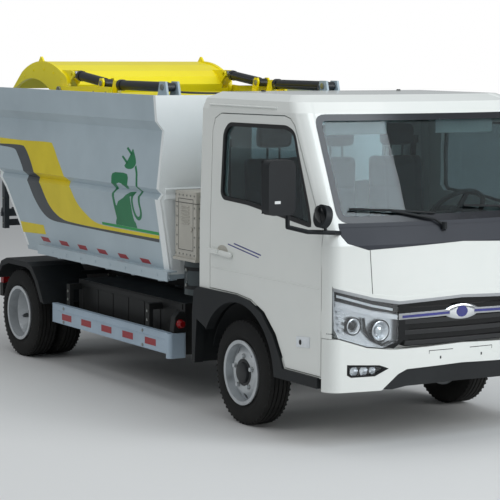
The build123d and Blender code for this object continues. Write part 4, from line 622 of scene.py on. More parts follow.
def lamp(name, spot, aim, size, watts, colour=(1.0, 1.0, 1.0)):
    """Square soft box aimed at a point, in metres."""
    data = bpy.data.lights.new(name, "AREA")
    data.size = size
    data.energy = watts
    data.color = colour
    box = bpy.data.objects.new(name, data)
    bpy.context.collection.objects.link(box)
    box.location = spot
    box.rotation_mode = "QUATERNION"
    box.rotation_quaternion = (Vector(aim) - Vector(spot)).to_track_quat("-Z", "Y")
    print("lamp", name, watts, "W")


NOSE = (0, -1.5, 1.0)
lamp("key_on_the_nose", (5.5, -11.0, 4.6), NOSE, 5.0, 450)
lamp("sky_seen_in_the_windscreen", (2.05, -11.0, 10.8), NOSE, 7.3, 700, (0.86, 0.94, 1.0))
lamp("fill_from_the_right", (-9.0, -1.0, 8.0), (0, 0.5, 1.4), 6.0, 170)
lamp("top_sky", (0.0, 1.0, 10.0), (0, 0.5, 0.0), 9.0, 230)

# %% [markdown]
# ## Tyres
# A light truck tyre is a fat ring with a flat tread, rounded shoulders and a sidewall that bulges a
# little. The bead sits on the rim. A spun profile makes the ring with its grooves and the fine ribs of
# the sidewall; small blocks along the shoulders make the edge of the tread. A displaced texture could cut
# the tread too, but it would need far more faces. The twin rear tyres are one piece, as they turn
# together.

# %% Tyre shape
TYRE_HALF, BEAD_R = 89.0, 188.0
INNER_TWIN_X = 623.0
GROOVE, GROOVE_DEEP = 7.0, 9.0
GROOVE_AT = (16.0, 44.0)
ROUND_STEPS, SHOULDER_BLOCKS = 96, 56
BLOCK_SPOT = (0.066, 0, 0.3155)  # metres from the tyre's middle and its axle
BLOCK_SIZE = (0.017, 0.0115, 0.014, 1)


def tyre_profile():
    """Half profile from the middle of the tread to the bead, as (distance from the middle, radius)."""
    tread = [(0.0, TYRE_R)]
    for centre in GROOVE_AT:
        tread += [(centre - GROOVE / 2, TYRE_R - 0.2), (centre - GROOVE / 2 + 1, TYRE_R - GROOVE_DEEP),
                  (centre + GROOVE / 2 - 1, TYRE_R - GROOVE_DEEP), (centre + GROOVE / 2, TYRE_R - 0.4)]
    shoulder = [(63.0, TYRE_R - 1.5), (69.0, 320.0), (73.0, 312.0), (78.0, 303.0), (82.0, 294.0)]
    wall = [(82.6, 291.0), (83.6, 288.0), (86.5, 272.0), (TYRE_HALF, 252.0), (88.4, 243.0), (89.0, 240.0),
            (88.2, 237.0), (86.0, 224.0), (82.5, 213.0), (80.0, 209.0), (79.5, 206.0), (76.0, 203.5),
            (72.0, 201.5), (69.0, BEAD_R + 2)]
    return tread + shoulder + wall


def tyre(bm, x, y):
    """One tyre round the axle through (x, y)."""
    half = tyre_profile()
    mirror = [(-along, radius) for along, radius in half[:0:-1]]
    turned(bm, mirror + half, (x, y, TYRE_R), (1, 0, 0), ROUND_STEPS)
    inner = [(-69.0, BEAD_R + 2), (-60.0, BEAD_R + 3), (60.0, BEAD_R + 3), (69.0, BEAD_R + 2)]
    turned(bm, inner, (x, y, TYRE_R), (1, 0, 0), ROUND_STEPS)
    off, level, up = BLOCK_SPOT
    for side in (-1, 1):
        for index in range(SHOULDER_BLOCKS):
            angle = math.tau * index / SHOULDER_BLOCKS
            spin = Matrix.Translation(place(x, y, TYRE_R)) @ Matrix.Rotation(angle, 4, "X")
            shape = spin @ Matrix.Translation((side * off, level, up)) @ Matrix.Diagonal(BLOCK_SIZE)
            bmesh.ops.create_cube(bm, size=1.0, matrix=shape)


for side, word in SIDES:
    shape = bmesh.new()
    tyre(shape, side * FRONT_WHEEL_X, 0.0)
    keep(shape, f"tyre_front_{word}", tyre_rubber, f"front_wheel_{word}",
         stands_for=[f"front_tyre_{word}"])
    shape = bmesh.new()
    for x in (OUTER_TWIN_X, INNER_TWIN_X):
        tyre(shape, side * x, WHEELBASE)
    keep(shape, f"tyres_rear_{word}", tyre_rubber, f"rear_wheel_{word}",
         stands_for=[f"rear_tyres_{word}"])

# %% [markdown]
# ## Wheel arch liners
# A moulded liner keeps spray out of the cab and makes the arch dark behind the wheel. It is an arc of two
# radii pushed across the arch. A cut in the solid would be another way, but the solids stay as they are.

# %% Liner inside each front wheel arch
LINER_R, LINER_INNER_R = 436, 432.5
LINER_X = (545, 806)
shape = bmesh.new()
for side in (-1, 1):
    turns = [math.radians(angle) for angle in range(14, 167, 8)]
    arc = [(LINER_R * math.cos(turn), TYRE_R + LINER_R * math.sin(turn)) for turn in turns]
    low = [(LINER_INNER_R * y / LINER_R, TYRE_R + (z - TYRE_R) * LINER_INNER_R / LINER_R)
           for y, z in reversed(arc)]
    slab(shape, arc + low, "x", side * LINER_X[0], side * LINER_X[1])
keep(shape, "wheel_arch_liners", moulding)

# %% [markdown]
# ## Windscreen border, seals and seams
# Safety glass has a fired-on black border that hides the glue. It is a skin over the glass, a millimetre
# proud. Door windows sit in a rubber channel, which is a rim of the window's outline. A second material
# on the glass would be simpler, but its edge would follow the mesh and not a rounded line.

# %% Border of the windscreen, and the cowl's upper lip
SCREEN = [(-786.0, 1318.0), (-757.0, 1930.0), (757.0, 1930.0), (786.0, 1318.0)]
SCREEN_CORNER, SCREEN_BORDER = 72.0, 38.0
shape = bmesh.new()
on_nose(shape, rounded(SCREEN, SCREEN_CORNER), 1.6, 9.0, SCREEN_BORDER, SCREEN_CUTS)
keep(shape, "screen_border", screen_border)
shape = bmesh.new()
on_nose(shape, [(-790, 1296), (790, 1296), (786, 1319), (-786, 1319)], 1.2, 5.0, cuts=SCREEN_CUTS)
keep(shape, "cowl_lip", cowl_plastic)

# %% Channel round each door window
DOOR_WINDOW = [(-800.0, 1290.0), (-770.0, 1400.0), (-640.0, 1690.0), (-590.0, 1822.0), (-500.0, 1856.0),
               (150.0, 1850.0), (212.0, 1790.0), (226.0, 1420.0), (190.0, 1385.0), (-100.0, 1372.0)]
WINDOW_MIDDLE = (-280, 1600)
CHANNEL_OVERLAP, CHANNEL_WIDTH, CHANNEL_CORNER = 7, 24.0, 40.0
for side, word in SIDES:
    shape = bmesh.new()
    grown = [(y + math.copysign(CHANNEL_OVERLAP, y - WINDOW_MIDDLE[0]),
              z + math.copysign(CHANNEL_OVERLAP, z - WINDOW_MIDDLE[1])) for y, z in DOOR_WINDOW]
    skin(shape, rounded(grown, CHANNEL_CORNER), "x", cab_flank, 1.5, 16.0, [(1, 1310.0)], side, CHANNEL_WIDTH)
    keep(shape, f"window_channel_{word}", rubber, f"door_{word}")

# %% Seams between the nose panel and the corners
shape = bmesh.new()
for side in (-1, 1):
    for seam in ([(628, 1170), (632, 1170), (612, 908), (608, 908)],
                 [(868, 690), (868, 694), (842, 694), (842, 690)]):
        on_nose(shape, [(side * x, z) for x, z in seam], 0.4, 2.0)
keep(shape, "nose_seams", rubber)

# %% [markdown]
# ## Headlamps
# A headlamp is a deep tray with a mirror finish, a projector and a bowl inside it, and a clear cover that
# carries on the shape of the nose. Light guides run along its top as a bright bar between dark ones. All
# its parts are skins of one outline at different depths and turned bowls, so the lamp always fits its
# opening.

# %% Outlines of a headlamp
LAMP = [(-845.0, 960.0), (-620.0, 905.0), (-400.0, 880.0), (-400.0, 640.0), (-470.0, 592.0), (-640.0, 612.0),
        (-815.0, 668.0), (-838.0, 720.0)]
LAMP_SWEEP = [(-664, 776), (-646, 776), (-636, 704), (-584, 650), (-534, 622), (-486, 640), (-490, 628),
              (-536, 606), (-596, 636), (-654, 698)]
LAMP_END = [(-441, 858), (-398, 861), (-398, 640), (-470, 592), (-536, 601), (-441, 634)]
LAMP_ROUNDS = (  # x, z, radius, depth of the bowl, and what the bulb in it belongs to
    (-718.0, 731.0, 46.0, 26.0, "dark"), (-548.0, 697.0, 58.0, 32.0, "lens"))
RIDGES, RIDGE_LOW, RIDGE_PITCH = 4, 700, 36


def mirrored(points, side):
    """Outline for one side; the list is drawn for the right side, at minus x."""
    return [(x * -side, z) for x, z in points]


def lamp_line(drop, thick, start=-838.0, end=-441.0):
    """Strip that runs under the lamp's top edge."""
    top = [(start, 951.0 - drop), (-610.0, 888.0 - drop), (end, 859.0 - drop)]
    return top + [(x, z - thick) for x, z in reversed(top)]


print("headlamp", LAMP[2][0] - LAMP[0][0], "mm wide with", len(LAMP_ROUNDS), "round lamps")

# %% Headlamp trays, projectors and covers
lamp_parts = {part: bmesh.new() for part in ("tray", "cover", "guide", "rims", "lens", "dark")}
LAMP_SKINS = (  # part, outline, how proud of the nose, depth, width where it is a ring
    ("tray", LAMP, -44.0, 59.0, 0.0), ("tray", LAMP, -6.0, 44.0, 5.0), ("cover", LAMP, -1.0, 4.0, 0.0),
    ("dark", lamp_line(6, 62, -836), -12.0, 40.0, 0.0),
    ("guide", lamp_line(34, 15, -826, -476), -8.0, 12.0, 0.0),
    ("rims", lamp_line(74, 28, -832), -9.0, 30.0, 0.0), ("dark", LAMP_SWEEP, -22.0, 22.0, 0.0),
    ("dark", LAMP_END, -0.5, 22.0, 0.0))
for side, _ in SIDES:
    for part, outline, proud, depth, ring in LAMP_SKINS:
        on_nose(lamp_parts[part], mirrored(outline, side), proud, depth, ring)
    for x, z, radius, cup, bulb_part in LAMP_ROUNDS:
        spot = (x * -side, cab_front(x, z) + 16, z)
        bowl = [(0, radius), (-3, radius - 5), (0, radius - 9), (cup, radius * 0.55), (cup, 0)]
        collar = [(24, radius + 7), (2, radius + 7), (2, radius + 1), (24, radius + 1)]
        bulb = radius * 0.5
        dome = [(4, 0), (6, bulb * 0.5), (11, bulb * 0.85), (18, bulb), (26, bulb)]
        turned(lamp_parts["rims"], bowl, spot, (0, 1, 0), 40)
        turned(lamp_parts["dark"], collar, spot, (0, 1, 0), 40)
        turned(lamp_parts[bulb_part], dome, spot, (0, 1, 0), 32)
    for index in range(RIDGES):
        outer, z = -806 - index * 4, RIDGE_LOW + index * RIDGE_PITCH
        ridge = mirrored([(outer, z), (-776, z - 16), (-776, z), (outer, z + 16)], side)
        on_nose(lamp_parts["guide"], ridge, -16.0, 22.0)
keep(lamp_parts["tray"], "lamp_trays", reflector, stands_for=["front_lamps"])
keep(lamp_parts["dark"], "lamp_bezels", gloss_black)
keep(lamp_parts["guide"], "lamp_light_guides", warm_light)
keep(lamp_parts["rims"], "lamp_bowls", reflector)
keep(lamp_parts["lens"], "lamp_projectors", mirror_glass)
keep(lamp_parts["cover"], "lamp_covers", lens_acrylic)

# %% [markdown]
# ## Fog lamps
# Three small bowls share one pointed opening in the bumper, behind one clear cover. The bezel is a ring
# of the opening's outline, made a little smaller so that it sits inside the bumper's cut.

# %% Fog lamps in the bumper
FOG = [(-765.0, 512.0), (-765.0, 452.0), (-740.0, 437.0), (-590.0, 437.0), (-500.0, 478.0), (-560.0, 500.0)]
FOG_MIDDLE, FOG_SHRINK = (640, 472), (0.985, 0.98)
FOG_BOWLS = ((-715.0, 27.0), (-655.0, 27.0), (-600.0, 22.0))  # x and radius
fog_bezel, fog_bowl, fog_cover = bmesh.new(), bmesh.new(), bmesh.new()
for side, _ in SIDES:
    middle_x, middle_z = side * FOG_MIDDLE[0], FOG_MIDDLE[1]
    small = [((x - middle_x) * FOG_SHRINK[0] + middle_x, (z - middle_z) * FOG_SHRINK[1] + middle_z)
             for x, z in mirrored(FOG, side)]
    on_nose(fog_bezel, small, 1.0, 58.0, 11.0)
    on_nose(fog_bezel, small, -46.0, 58.0)
    on_nose(fog_cover, small, -8.0, 12.0)
    for x, radius in FOG_BOWLS:
        spot = (x * -side, cab_front(x, 470) + 14, 471.0)
        turned(fog_bowl, [(0, radius), (20, radius * 0.6), (22, 0)], spot, (0, 1, 0), 28)
keep(fog_bezel, "fog_lamp_bezels", gloss_black)
keep(fog_bowl, "fog_lamp_bowls", reflector)
keep(fog_cover, "fog_lamp_covers", lens_acrylic)

# %% [markdown]
# ## Grille trim, badge pod and plate place
# A bright line runs over the lamps and the grille. Under it a thin bright frame holds a blue lacquered
# strip. The middle carries a plain pointed pod with a blue face and without any sign. The lines are skins
# with small bevels, which catch the light; the pod is a loft of one pointed oval in five sizes.

# %% Bright lines and the nose's lip
LINE = [(-846, 957), (-610, 895), (-440, 866), (0, 883), (440, 866), (610, 895), (846, 957)]
EDGE = [(-846, 969), (-620, 916), (-398, 891), (0, 915), (398, 891), (620, 916), (846, 969)]
LINE_THICK = 19
shape = bmesh.new()
on_nose(shape, LINE + [(x, z - LINE_THICK) for x, z in reversed(LINE)], 3.0, 8.0)
keep(shape, "bright_line_over_lamps", satin_trim, bevel=1.0)
shape = bmesh.new()
on_nose(shape, EDGE + [(x, z - 2) for x, z in reversed(LINE)], 1.2, 6.0)
keep(shape, "nose_lip", cab_enamel, bevel=1.0)

# %% Bars and strips of the grille
GRILLE_BARS = ((606, 630), (666, 692), (728, 753))  # lower and upper edge
STRIP_FRAME = [(440, 792), (90, 799), (90, 763), (440, 756)]
STRIP_LACQUER = [(416, 781), (90, 789), (90, 773), (416, 765)]
shape = bmesh.new()
for low, high in GRILLE_BARS:
    on_nose(shape, [(-396, low), (396, low), (396, high), (-396, high)], -3.0, 6.0)
keep(shape, "grille_bars", grille_plastic, bevel=3.0)
frames, lacquer = bmesh.new(), bmesh.new()
for side in (-1, 1):
    on_nose(frames, [(side * x, z) for x, z in STRIP_FRAME], 0.5, 8.0)
    on_nose(lacquer, [(side * x, z) for x, z in STRIP_LACQUER], 1.4, 4.0)
keep(frames, "grille_strip_frame", satin_trim, bevel=1.5)
keep(lacquer, "grille_strip_lacquer", blue_trim)

# %% Badge pod
POD_Y, POD_Z = NOSE_TIP + 4, 782.0
POD_HALF_X, POD_HALF_Z, POD_POINT = 138, 48, 1.35  # a power over 1 draws the oval's ends to points
POD_RINGS = ((1.0, 8.0), (0.98, 1.0), (0.9, -1.6), (0.74, -3.2), (0.5, -3.7))  # size and depth
eye = [(POD_HALF_X * math.cos(a), POD_HALF_Z * math.copysign(abs(math.sin(a)) ** POD_POINT, math.sin(a)))
       for a in (math.tau * step / 40 for step in range(40))]
shape = bmesh.new()
loft(shape, [[place(x * size, POD_Y + depth, POD_Z + z * size) for x, z in eye] for size, depth in POD_RINGS])
keep(shape, "badge_pod", chrome, sharp=60)
shape = bmesh.new()
turned(shape, [(0, 36), (-3.6, 34), (-4, 28), (-4, 0)], (0, POD_Y, POD_Z), (0, 1, 0), 48)
bmesh.ops.scale(shape, vec=(1.3, 1.0, 0.95), verts=shape.verts,
                space=Matrix.Translation(-place(0, POD_Y, POD_Z)))
keep(shape, "badge_pod_face", blue_trim)

# %% Place for the number plate
PLATE_LINES = (  # left, right, lower and upper edge
    (-232, -62, 562, 566), (62, 232, 562, 566), (-232, -229, 545, 562), (229, 232, 545, 562))
PLATE_SLOTS = ((-155, -145, 512, 528), (145, 155, 512, 528))
shape = bmesh.new()
for rows, proud in ((PLATE_LINES, 0.4), (PLATE_SLOTS, 0.5)):
    for left, right, low, high in rows:
        on_nose(shape, [(left, high), (right, high), (right, low), (left, low)], proud, 2.0)
keep(shape, "plate_place", rubber)

# %% [markdown]
# ## Films and folds on the tub
# The wave on the tub's sides is cut film, so each colour is a thin skin that follows the folds of the
# panel. A smooth line goes through a few points of each edge. The reflective red pieces are a film too, a
# little thicker. The pump is a plain sign for electric drive. A painted texture would blur up close; film
# keeps its sharp edge and its own gloss.

# %% Smooth lines and films
FILM_DEPTH = 2.0


def curved(points, steps=5):
    """Smooth line through the points (Catmull-Rom)."""
    line = []
    for index in range(len(points) - 1):
        before, after = points[max(index - 1, 0)], points[min(index + 2, len(points) - 1)]
        near = [before, points[index], points[index + 1], after]
        for step in range(steps):
            t = step / steps
            line.append(tuple(0.5 * (2 * b + (c - a) * t + (2 * a - 5 * b + 4 * c - d) * t * t
                                     + (3 * b - a - 3 * c + d) * t ** 3) for a, b, c, d in zip(*near)))
    return line + [points[-1]]


def ribbon(points, width):
    """Outline of a band of one width along a smooth line."""
    line = curved(points)
    left, right = [], []
    for index, (a, b) in enumerate(line):
        before, after = line[max(index - 1, 0)], line[min(index + 1, len(line) - 1)]
        run = Vector((after[0] - before[0], after[1] - before[1])).normalized() * width / 2
        left.append((a - run.y, b + run.x))
        right.append((a + run.y, b - run.x))
    return left + right[::-1]


def film(name, outlines, material, proud=0.8, surface=tub_flank, cuts=FOLD_CUTS, body="tub",
         bevel=0.0):
    """Thin film on both flanks from outlines of (y, z)."""
    shape = bmesh.new()
    for side, _ in SIDES:
        for outline in outlines:
            skin(shape, outline, "x", surface, proud, FILM_DEPTH, cuts, side)
    return keep(shape, name, material, body, bevel)

# %% Wave and ground lines
WAVE_TOP = [(3497, 1618), (3110, 1615), (2651, 1621), (2569, 1601), (2472, 1510), (2363, 1411), (2280, 1330),
            (2199, 1222), (2076, 1146), (1909, 1092), (1569, 1082), (1021, 1082)]
WAVE_MID = [(3487, 1573), (3126, 1579), (3027, 1559), (2913, 1467), (2835, 1383), (2763, 1309), (2688, 1196),
            (2601, 1124), (2463, 1076), (2271, 1063), (1876, 1058), (1028, 1059)]
WAVE_LOW = [(3483, 1558), (3238, 1549), (3158, 1513), (3040, 1411), (2994, 1343), (2963, 1296), (2895, 1191),
            (2789, 1100), (2649, 1055), (2361, 1047), (1881, 1042), (1034, 1036)]
film("tub_wave_yellow", [curved(WAVE_TOP) + curved(WAVE_MID)[::-1]], yellow_film)
film("tub_wave_grey", [curved(WAVE_MID) + curved(WAVE_LOW)[::-1]], grey_film)
film("tub_ground_line_green", [[(1836, 1108), (1021, 1104), (1021, 1084), (1836, 1090)]], green_film)

# %% Pump sign
PUMP_HEAD = [(1620, 1439), (1609, 1458), (1569, 1468), (1453, 1471), (1398, 1464), (1382, 1443), (1382, 1382),
             (1400, 1366), (1431, 1363), (1442, 1380), (1464, 1397), (1503, 1402), (1539, 1392), (1555, 1373),
             (1570, 1351), (1604, 1345)]
PUMP_NECK = [(1602, 1350), (1629, 1308), (1620, 1236), (1588, 1236), (1600, 1305), (1574, 1350)]
PUMP_BODY = [(1620, 1238), (1575, 1242), (1547, 1272), (1464, 1302), (1376, 1346), (1300, 1352), (1305, 1331),
             (1368, 1315), (1362, 1198), (1349, 1153), (1332, 1142), (1319, 1107), (1621, 1108), (1621, 1126),
             (1602, 1154)]
PUMP_HOSE = [(1312, 1340), (1342, 1300), (1342, 1240), (1318, 1190), (1282, 1174), (1248, 1190), (1236, 1226),
             (1245, 1290), (1226, 1350), (1246, 1385), (1258, 1435), (1266, 1480), (1290, 1524)]
HOSE_WIDTH = 24
PLUG = [(1447, 1518), (1409, 1556), (1371, 1602), (1349, 1634), (1328, 1612), (1298, 1572), (1290, 1538),
        (1326, 1508), (1376, 1500), (1422, 1504), (1447, 1518)]
PRONGS = [[(1495, 1576), (1481, 1586), (1400, 1544), (1416, 1530)],
          [(1436, 1634), (1420, 1645), (1346, 1604), (1362, 1590)]]
film("tub_pump_sign",
     [PUMP_HEAD, PUMP_NECK, PUMP_BODY, ribbon(PUMP_HOSE, HOSE_WIDTH), curved(PLUG)[:-1]] + PRONGS,
     sign_film)

# %% Red reflective pieces and a blank label
REFLEX_ENDS = [  # rear and front end of the upper edge, front and rear end of the lower edge
    (2888, 2762, 2722, 2853), (2582, 2454, 2416, 2544), (2282, 2151, 2128, 2249),
    (1980, 1852, 1814, 1943), (1665, 1544, 1503, 1631), (1348, 1220, 1190, 1312)]
REFLEX_PROUD = 1.4
reflex = []
for index, (a, b, c, d) in enumerate(REFLEX_ENDS):
    top, low = 914 - 2 * index, 883 - 1.4 * index
    reflex.append([(a, top), (b, top), (c, low), (d, low)])
film("tub_red_reflectors", reflex, red_reflex, REFLEX_PROUD)
film("tub_blank_label", [[(3209, 1002), (2810, 1004), (2788, 937), (3189, 922)]], yellow_film)

# %% [markdown]
# ## The tub's front wall and floor
# The front wall is folded round the tub's corners, has one horizontal bead and four ribs, and the floor
# rests on cross members with short outriggers. The corners are lofts of one section at four heights, so
# that they follow the flank. The rest is folded sheet, which a slab or a brick with a small bevel shows
# well enough.

# %% Rounded corners and fold of the tub's front wall
CORNER_R, CORNER_Y = 34, 974
WALL_RIB_X, WALL_RIB_HALF = (-600, -200, 200, 600), 30
shape = bmesh.new()
for side, _ in SIDES:
    rings = []
    for z in (834, 1000, 1200, 1322):
        edge = tub_flank(0, z) + 3
        ring = [(edge, 1010), (edge - 4, 1010), (edge - 8, 950), (edge - 95, 944), (edge - 95, 940)]
        for step in range(9):
            angle = math.pi / 2 * step / 8
            ring.append((edge - CORNER_R + CORNER_R * math.sin(angle), CORNER_Y - CORNER_R * math.cos(angle)))
        rings.append([place(side * x, y, z) for x, y in ring])
    loft(shape, rings)
# The corners take the tub's coat drawn near white: painted light on a wall that the cab shades.
keep(shape, "tub_front_corners", painted_lit_tub_enamel, "tub")
shape = bmesh.new()
slab(shape, [(946, 1400), (930, 1392), (940, 1358), (930, 1328), (946, 1320)], "x", -868, 868)
for x in WALL_RIB_X:
    brick(shape, x - WALL_RIB_HALF, x + WALL_RIB_HALF, 925, 946, 840, 1310)
# The ribs and the bead take the same near-white copy of the tub's coat: painted light.
keep(shape, "tub_front_wall_ribs", painted_lit_tub_enamel, "tub", bevel=2.0)

# %% Gussets, bolts and cross members under the tub
shape = bmesh.new()
for side, _ in SIDES:
    for y in range(1100, 3000, 380):
        brick(shape, side * 700, side * 824, y - 20, y + 20, 772, 800)
    for y in range(1000, 2800, 225):
        stud(shape, side * 893, y, 829, 4, 9)
for y in (1200, 1700, 2200, 2700):
    brick(shape, -700, 700, y - 24, y + 24, 774, 800)
keep(shape, "tub_floor_stiffeners", tub_enamel, "tub", bevel=1.5)

# %% [markdown]
# ## Side guards
# A folded plank in pale enamel with three fold lines along it, red reflective pieces, and bolts where it
# meets its posts. The guards' face is flat, so the films take a surface that is the same everywhere.

# %% Red pieces, fold lines and bolts of the side guards
GUARD_FACE_X = 880.0
GUARD_FRONT, GUARD_REAR = 928, 2608
GUARD_RED_REAR, GUARD_RED_LENGTH = (2453, 2142, 1831, 1517, 1195), 152
GUARD_FOLDS = ((450, 455.5), (318.5, 324), (408, 412))  # lower and upper edge
GUARD_POST_Y = (2425, 1227)


def guard_face(y, z):
    """Half width of the guards' outer face."""
    return GUARD_FACE_X


red = [[(y, 394), (y - GUARD_RED_LENGTH, 394), (y - GUARD_RED_LENGTH, 349), (y, 349)] for y in GUARD_RED_REAR]
film("guard_red_reflectors", red, red_reflex, 1.2, guard_face, (), "root")
plank = [[(GUARD_REAR, high), (GUARD_FRONT, high), (GUARD_FRONT, low), (GUARD_REAR, low)]
         for low, high in GUARD_FOLDS]
film("guard_fold_lines", plank, guard_enamel, 3.0, guard_face, (), "root", 1.0)
shape = bmesh.new()
for side, _ in SIDES:
    for y in GUARD_POST_Y:
        for z in (432, 335):
            stud(shape, side * 878, y, z, 7, 11)
        for z in (500, 560):
            stud(shape, side * 841, y, z, 8, 10)
keep(shape, "guard_bolts", steel)

# %% [markdown]
# ## Service cabinet
# The cabinet is folded sheet closed by rows of small screws. Its door has a rubber gap, louvres and a
# lock. The screws come from loops over their rows, as they would be drilled with a jig.

# %% Cabinet screws, seams, lock and louvres
CABINET_FRONT_Y, CABINET_SIDE_X = 600.5, -829.5
SCREW_R, SCREW_OUT = 6, 3.5
screws, seams, louvre = bmesh.new(), bmesh.new(), bmesh.new()
front_screws = [(x, z) for x in range(-800, -530, 60) for z in (990, 1364)]
front_screws += [(x, z) for z in range(1040, 1350, 62) for x in (-808, -545)]
side_screws = [(y, z) for y in range(625, 870, 48) for z in (985, 1366)]
side_screws += [(y, z) for z in range(1040, 1350, 62) for y in (622, 850)]
for x, z in front_screws:
    bar(screws, (x, CABINET_FRONT_Y, z), (x, CABINET_FRONT_Y - SCREW_OUT, z), SCREW_R, 12)
for y, z in side_screws:
    stud(screws, CABINET_SIDE_X, y, z, SCREW_OUT, SCREW_R, 12)
for y0, y1, z0, z1 in ((640, 832, 1012, 1015), (640, 832, 1341, 1344),
                       (640, 643, 1012, 1344), (829, 832, 1012, 1344)):
    brick(seams, -831, -829, y0, y1, z0, z1)
brick(seams, -832, -518, 598.5, 874, 1316, 1319)
for index in range(6):
    z = 1180 + index * 22
    slab(louvre, [(-832, z), (-838, z + 4), (-838, z + 7), (-829, z + 12), (-829, z)], "y", 690, 790)
stud(louvre, -829, 662, 1150, 8, 15, 20)
keep(screws, "cabinet_screws", steel)
keep(seams, "cabinet_seams", rubber)
keep(louvre, "cabinet_louvres", cabinet_enamel, bevel=0.8)

# %% [markdown]
# ## Oil tank
# Below the cabinet's ledge stands the oil tank, a welded drum with straps, a filler and a level glass.
# Straps and filler are turned on the drum's own axis. Its pipes are rigid steel, bent in a plane or two,
# so a curve with a round bevel makes them and is turned to a mesh.

# %% Tank straps, filler, level glass and rigid pipes
TANK_X, TANK_Y = -690, 738
STRAP_IN, STRAP_OUT, STRAP_HALF = 127.5, 131, 12
shape = bmesh.new()
for z in (772, 892):
    strap = [(-STRAP_HALF, STRAP_IN), (-STRAP_HALF, STRAP_OUT),
             (STRAP_HALF, STRAP_OUT), (STRAP_HALF, STRAP_IN),
             (-STRAP_HALF, STRAP_IN)]
    turned(shape, strap, (TANK_X, TANK_Y, z), (0, 0, 1), 56)
turned(shape, [(0, 34), (14, 34), (18, 30), (18, 0)], (-742, 700, 924), (0, 0, 1), 28)
keep(shape, "tank_straps_and_filler", frame_enamel)
shape = bmesh.new()
bar(shape, (TANK_X - 126, TANK_Y, 790), (TANK_X - 126, TANK_Y, 880), 9, 14)
keep(shape, "tank_level_glass", lens_acrylic)
shape = bmesh.new()
for z in (786, 884):
    stud(shape, TANK_X - 118, TANK_Y, z, 20, 11)
keep(shape, "tank_fittings", steel)
pressure_pipe = [(-640, 640, 720), (-640, 600, 690), (-560, 560, 660), (-420, 640, 655), (-400, 1000, 655),
                 (-395, 1640, 655)]
return_pipe = [(-720, 660, 722), (-720, 600, 700), (-640, 540, 640), (-430, 600, 630), (-425, 1000, 632),
               (-420, 1660, 632)]
pipe("tank_pipes", [pressure_pipe, return_pipe], 9, cylinder_enamel)

# %% [markdown]
# ## Doors
# The doors carry a bow handle over a shallow cup, a crease low on the panel, two blue stripes and a side
# lamp near the front edge. The cup is a grey oval film of painted shade, for the shadow inside it. Inside
# there is a moulded card with an armrest. The flat pieces are skins on the flank, and the handle is a loft
# of ovals that swell towards its middle, as a moulded bow does.

# %% Door handles, creases, stripes and side lamps
def oval(y, z, half_y, half_z, steps=28):
    """Outline of an oval as (y, z)."""
    return [(y + half_y * math.cos(math.tau * i / steps), z + half_z * math.sin(math.tau * i / steps))
            for i in range(steps)]


def on_doors(name, outlines, material, proud=0.6, bevel=0.0):
    """Thin pieces on the outside of both doors."""
    for side, word in SIDES:
        shape = bmesh.new()
        for outline in outlines:
            skin(shape, outline, "x", cab_flank, proud, FILM_DEPTH, [(1, 1195.0)], side)
        keep(shape, f"{name}_{word}", material, f"door_{word}", bevel)


HANDLE_RINGS = (  # y, half height, how far it stands out
    (344, 6, 6), (338, 14, 16), (318, 18, 24), (200, 19, 30), (100, 18, 26), (76, 14, 16), (70, 6, 6))
HANDLE_Z, HANDLE_SLOPE, HANDLE_X, HANDLE_FLAT = 1052, 0.04, 884, 0.55
# The grey oval behind each handle is painted shade: it stands for the shadow in the door's shallow cup.
on_doors("door_handle_cup_painted_shade", [oval(196, 1062, 62, 34)], cabinet_enamel, 0.8)
on_doors("door_stripes", [[(60, 1122), (-256, 1079), (-256, 1071), (60, 1114)],
                          [(132, 1112), (-231, 1062), (-231, 1055), (132, 1105)]], blue_trim, 0.7)
on_doors("door_crease", [[(340, 952), (-900, 946), (-900, 938), (340, 944)]], cab_enamel, 2.2, bevel=2.0)
on_doors("side_lamp_seat", [[(-664, 640), (-800, 652), (-800, 588), (-664, 578)]], warm_light, 7.0,
         2.0)
on_doors("side_lamp_lens", [oval(-709, 611, 13, 16)], gloss_black, 8.4)
for side, word in SIDES:
    shape = bmesh.new()
    rings = []
    for y, half, lift in HANDLE_RINGS:
        z = HANDLE_Z - (HANDLE_RINGS[0][0] - y) * HANDLE_SLOPE
        turns = [math.tau * step / 16 for step in range(16)]
        rings.append([place(side * (HANDLE_X + lift * HANDLE_FLAT * math.cos(turn)), y,
                            z + half * math.sin(turn))
                      for turn in turns])
    loft(shape, rings)
    for y in (322, 92):
        brick(shape, side * 871, side * 886, y - 12, y + 12, 1036, 1056)
    keep(shape, f"door_handle_{word}", cab_enamel, f"door_{word}", sharp=50)

# %% Door cards inside
CARD_OUT_X, CARD_IN_X = 822, 812
for side, word in SIDES:
    card, rest = bmesh.new(), bmesh.new()
    slab(card, [(-830, 700), (-560, 700), (-440, 800), (-100, 820), (300, 830), (300, 1280), (-100, 1300),
                (-760, 1240)],
         "x", side * CARD_OUT_X, side * CARD_IN_X)
    slab(rest, [(-420, 1040), (180, 1070), (180, 1110), (-420, 1090)], "x", side * CARD_IN_X, side * 762)
    slab(rest, [(-660, 860), (-420, 880), (-420, 960), (-660, 960)], "x", side * CARD_IN_X, side * 780)
    bar(rest, (side * 790, 60, 1180), (side * CARD_IN_X, 60, 1180), 18, 20)
    keep(card, f"door_card_{word}", trim_plastic, f"door_{word}", 6.0)
    keep(rest, f"door_armrest_{word}", moulding, f"door_{word}", 8.0)

# %% [markdown]
# ## Mirrors and roof
# Each mirror is a pane in a moulded rim, with a small white mark on the housing and a round mirror over
# the nose. The rim is four thin bars, because that is what shows of a real one. The roof has a drip rail
# over each door and two plugs.

